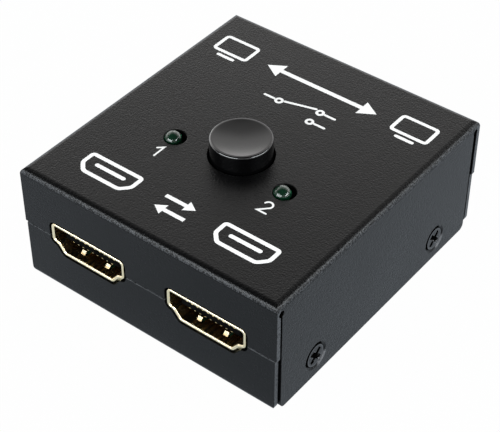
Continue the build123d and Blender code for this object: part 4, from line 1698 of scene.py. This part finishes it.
@dataclass
class Marks(Assembly):
    """The printed marks on the cover: plain numbers, and plain signs for screen, socket and exchange.

    Attributes:
        cover: The height of the cover in millimetres.
        ink: How far the ink stands proud of it in millimetres.
        fine: The width of the numbers' strokes in millimetres.
        line: The width of the changeover sign's strokes in millimetres.
        bold: The width of the signs' strokes in millimetres.
    """

    cover: float = 22.6
    ink: float = 0.02
    fine: float = 0.31
    line: float = 0.45
    bold: float = 0.62

    def build(self) -> None:
        """Prints every mark."""
        signs = (
            ("mark_number_1", (-10.5, -10.7), self._number_one),
            ("mark_number_2", (10.7, -10.9), self._number_two),
            ("mark_screen_left", (-18.0, 17.9), self._screen),
            ("mark_socket_left", (-13.2, -19.4), self._socket_sign),
            ("mark_screen_right", (18.0, 17.9), self._screen),
            ("mark_socket_right", (13.2, -19.4), self._socket_sign),
            ("mark_double_arrow", (0.0, 17.9), self._double_arrow),
            ("mark_changeover", (0.0, 11.2), self._changeover),
            ("mark_exchange", (0.0, -19.4), self._exchange),
        )
        for name, at, draw in signs:
            mark = InkMark(at, self.cover, self.ink)
            draw(mark)
            self.carry(mark.finish(name, INK), Body.HOUSING, "white_print")

    def _number_one(self, mark: InkMark) -> None:
        """Draws a 1."""
        mark.line([(-0.86, 0.48), (0.0, 1.26), (0.0, -1.26)], self.fine)

    def _number_two(self, mark: InkMark) -> None:
        """Draws a 2."""
        bowl = arc((0.0, 0.54), 0.72, 168, -32, 20)
        mark.line(bowl + [(-0.79, -1.26), (0.84, -1.26)], self.fine)

    def _screen(self, mark: InkMark) -> None:
        """Draws a screen on its stand."""
        mark.line(rounded_outline(rectangle(3.3, 2.0, (0.0, 0.5)), 0.6), self.bold, True)
        mark.line([(-1.5, -2.65), (1.5, -2.65)], self.bold)

    def _double_arrow(self, mark: InkMark) -> None:
        """Draws a long arrow with two heads.

        Args:
            mark: The mark that it is drawn in.
        """
        tip = 11.0
        neck = 8.1
        barb = 1.75
        shaft = 0.42
        right = [(neck, -shaft), (neck, -barb), (tip, 0.0), (neck, barb), (neck, shaft)]
        mark.area(right + [(-x, -y) for x, y in right])

    def _changeover(self, mark: InkMark) -> None:
        """Draws a changeover contact: one lead on the left, two on the right.

        Args:
            mark: The mark that it is drawn in.
        """
        for x, y in ((-3.6, 0.0), (3.6, 1.45), (3.6, -1.45)):
            mark.line(arc((x, y), 0.55, 0, 345, 23), self.line, True)
            outer = math.copysign(0.95, x)
            mark.line([(x + outer, y), (x + outer * 3, y)], self.line)
        mark.line([(-2.75, 0.34), (2.55, 1.85)], self.line)

    def _socket_sign(self, mark: InkMark) -> None:
        """Draws the outline of a flat socket with its tongue.

        Args:
            mark: The mark that it is drawn in.
        """
        corners = [(-5.0, 2.0), (-5.0, -0.5), (-3.6, -2.0), (3.6, -2.0), (5.0, -0.5), (5.0, 2.0)]
        mark.line(rounded_outline(corners, 0.5), self.bold + 0.08, True)
        mark.line([(-2.7, 0.25), (2.7, 0.25)], self.bold + 0.1)

    def _exchange(self, mark: InkMark) -> None:
        """Draws two short arrows that pass each other.

        Args:
            mark: The mark that they are drawn in.
        """
        lower = [(-2.9, -0.36), (1.1, -0.36), (1.1, -1.15)]
        upper = [(x, -y) for x, y in reversed(lower)]
        for side in (-1, 1):
            mark.area([(side * x, side * (y + 1.35)) for x, y in (*lower, (2.9, 0.0), *upper)])


def direction(azimuth: float, elevation: float) -> Vector:
    """Finds the direction from the box towards a view's eye.

    Args:
        azimuth: The view's azimuth in degrees.
        elevation: Its elevation in degrees.

    Returns:
        The direction, one long.
    """
    turn = math.radians(azimuth)
    rise = math.radians(elevation)
    return Vector((math.sin(turn) * math.cos(rise), -math.cos(turn) * math.cos(rise), math.sin(rise)))


@dataclass(frozen=True)
class SoftBox:
    """One soft light that is aimed at the box.

    Attributes:
        name: The light's name.
        azimuth: Where it stands, as the angle of a view from there, in degrees.
        elevation: Its height above the horizon, in degrees.
        distance: How far off it stands in metres.
        size: Its width and height in metres.
        radiance: How bright its face is, where 1 is white.
        tint: Its colour.
    """

    name: str
    azimuth: float
    elevation: float
    distance: float
    size: Pair
    radiance: float
    tint: Colour = (0.92, 0.97, 1.0)

    def place(self, target: Vector) -> None:
        """Makes the light.

        Args:
            target: The point that it faces.
        """
        data = bpy.data.lights.new(self.name, "AREA")
        data.shape = "RECTANGLE"
        data.size, data.size_y = self.size
        data.energy = self.radiance * math.pi * self.size[0] * self.size[1]
        data.color = self.tint
        light = bpy.data.objects.new(self.name, data)
        back = direction(self.azimuth, self.elevation)
        light.location = target + back * self.distance
        light.rotation_mode = "QUATERNION"
        light.rotation_quaternion = (-back).to_track_quat("-Z", "Y")
        bpy.context.scene.collection.objects.link(light)
        LOG.info("light %s stands at %.0f degrees", self.name, self.azimuth)


@dataclass
class Studio:
    """The camera, floor, lights and surroundings.

    Attributes:
        azimuth: The camera's azimuth in degrees.
        elevation: Its elevation in degrees.
        roll: Its roll in degrees.
        distance: Its distance from the target in metres.
        target: The point that it looks at, in metres.
        lens: Its focal length in millimetres.
        sensor: Its sensor's width in millimetres.
        clip: The nearest and furthest that it sees, in metres.
        floor_size: The floor's width in metres.
        lights: The soft lights.
        lit: The point that they face, in metres.
        horizon: The surroundings low down in front.
        zenith: The surroundings overhead.
        front_fades: Between which heights the front turns into that, where 1 is overhead.
        wall_foot: The wall behind at its foot.
        wall: Its tones further up, each with the heights between which it takes over.
        wall_fades: Between which heights the wall turns into the dark overhead.
        wall_turns: How far backwards a direction points where the wall starts and is full.
    """

    azimuth: float = 37.8196
    elevation: float = 41.7634
    roll: float = 0.0788
    distance: float = 0.239714
    target: Point = (0.0027163, -0.0045897, 0.012)
    lens: float = 108.333
    sensor: float = 36.0
    clip: Span = (0.005, 50.0)
    floor_size: float = 8.0
    lights: tuple[SoftBox, ...] = (
        SoftBox("front_box", -6.0, 18.0, distance=0.55, size=(0.63, 0.24), radiance=9.0),
        SoftBox("right_box", 104.0, 21.0, distance=0.55, size=(0.60, 0.16), radiance=10.0),
    )
    lit: Point = (0.0, 0.0, 0.012)
    horizon: Colour = grey(0.8)
    zenith: Colour = grey(0.05)
    front_fades: Span = (0.35, 0.65)
    wall_foot: Colour = grey(0.9)
    wall: tuple[tuple[Colour, Span], ...] = (
        ((3.3, 3.27, 3.24), (0.0, 0.20)),
        ((1.90, 1.88, 1.86), (0.20, 0.50)),
        ((0.95, 0.94, 0.93), (0.60, 0.80)),
    )
    wall_fades: Span = (0.84, 0.96)
    wall_turns: Span = (0.0, 0.6)

    def build(self) -> None:
        """Sets up the whole studio."""
        self._make_camera()
        self._make_floor()
        self._make_surroundings()
        for light in self.lights:
            light.place(Vector(self.lit))
        bpy.context.scene.view_settings.view_transform = "Standard"

    def _make_camera(self) -> None:
        """Makes the camera at the fitted place."""
        back = direction(self.azimuth, self.elevation)
        across = Vector((0, 0, 1)).cross(back).normalized()
        up = back.cross(across)
        turn = math.radians(self.roll)
        right = across * math.cos(turn) + up * math.sin(turn)
        upright = up * math.cos(turn) - across * math.sin(turn)
        data = bpy.data.cameras.new("camera")
        data.lens, data.sensor_width, data.sensor_fit = self.lens, self.sensor, "HORIZONTAL"
        data.clip_start, data.clip_end = self.clip
        camera = bpy.data.objects.new("camera", data)
        rotation = Matrix((right, upright, back)).transposed().to_4x4()
        camera.matrix_world = Matrix.Translation(Vector(self.target) + back * self.distance) @ rotation
        bpy.context.scene.collection.objects.link(camera)
        bpy.context.scene.camera = camera

    def _make_floor(self) -> None:
        """Makes the floor that the box stands on."""
        half = self.floor_size / 2 / MM
        maker = MeshMaker()
        maker.slab([rectangle(half, half)], -5.0, -0.01)
        maker.finish("studio_floor", FLOOR)

    def _make_surroundings(self) -> None:
        """Makes surroundings that are dark overhead, with a lit wall behind that fades upwards."""
        world = bpy.data.worlds.new("studio")
        bpy.context.scene.world = world
        tree = ShaderTree(world)
        way = tree.add("ShaderNodeTexCoord").outputs["Generated"]
        parts = tree.add("ShaderNodeSeparateXYZ", values={0: way})
        x, y, z = (Signal(tree, output) for output in parts.outputs)
        away = -direction(self.azimuth, 0.0)
        behind = (x * away.x + y * away.y).rise(*self.wall_turns)
        front = tree.mixed(self.horizon, self.zenith, z.rise(*self.front_fades))
        wall: Any = self.wall_foot
        for tone, heights in (*self.wall, (self.zenith, self.wall_fades)):
            wall = tree.mixed(wall, tone, z.rise(*heights))
        around = tree.add("ShaderNodeBackground", values={"Color": tree.mixed(front, wall, behind)})
        white = tree.add("ShaderNodeBackground", values={"Color": grey(1.0)})
        camera = tree.add("ShaderNodeLightPath").outputs["Is Camera Ray"]
        values = {0: camera, 1: around.outputs[0], 2: white.outputs[0]}
        mixed = tree.add("ShaderNodeMixShader", values=values)
        tree.add("ShaderNodeOutputWorld", values={"Surface": mixed.outputs[0]})


def main() -> None:
    """Loads the frame, and builds everything round it."""
    logging.basicConfig(level=logging.INFO, format="%(name)s: %(message)s")
    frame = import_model()
    for kind in (Case, Sockets, Lamps, PushSwitch, Board, Marks):
        kind(frame["nodes"]).build()
        LOG.info("%s is done", kind.__name__)
    Studio().build()


if __name__ == "__main__":
    main()
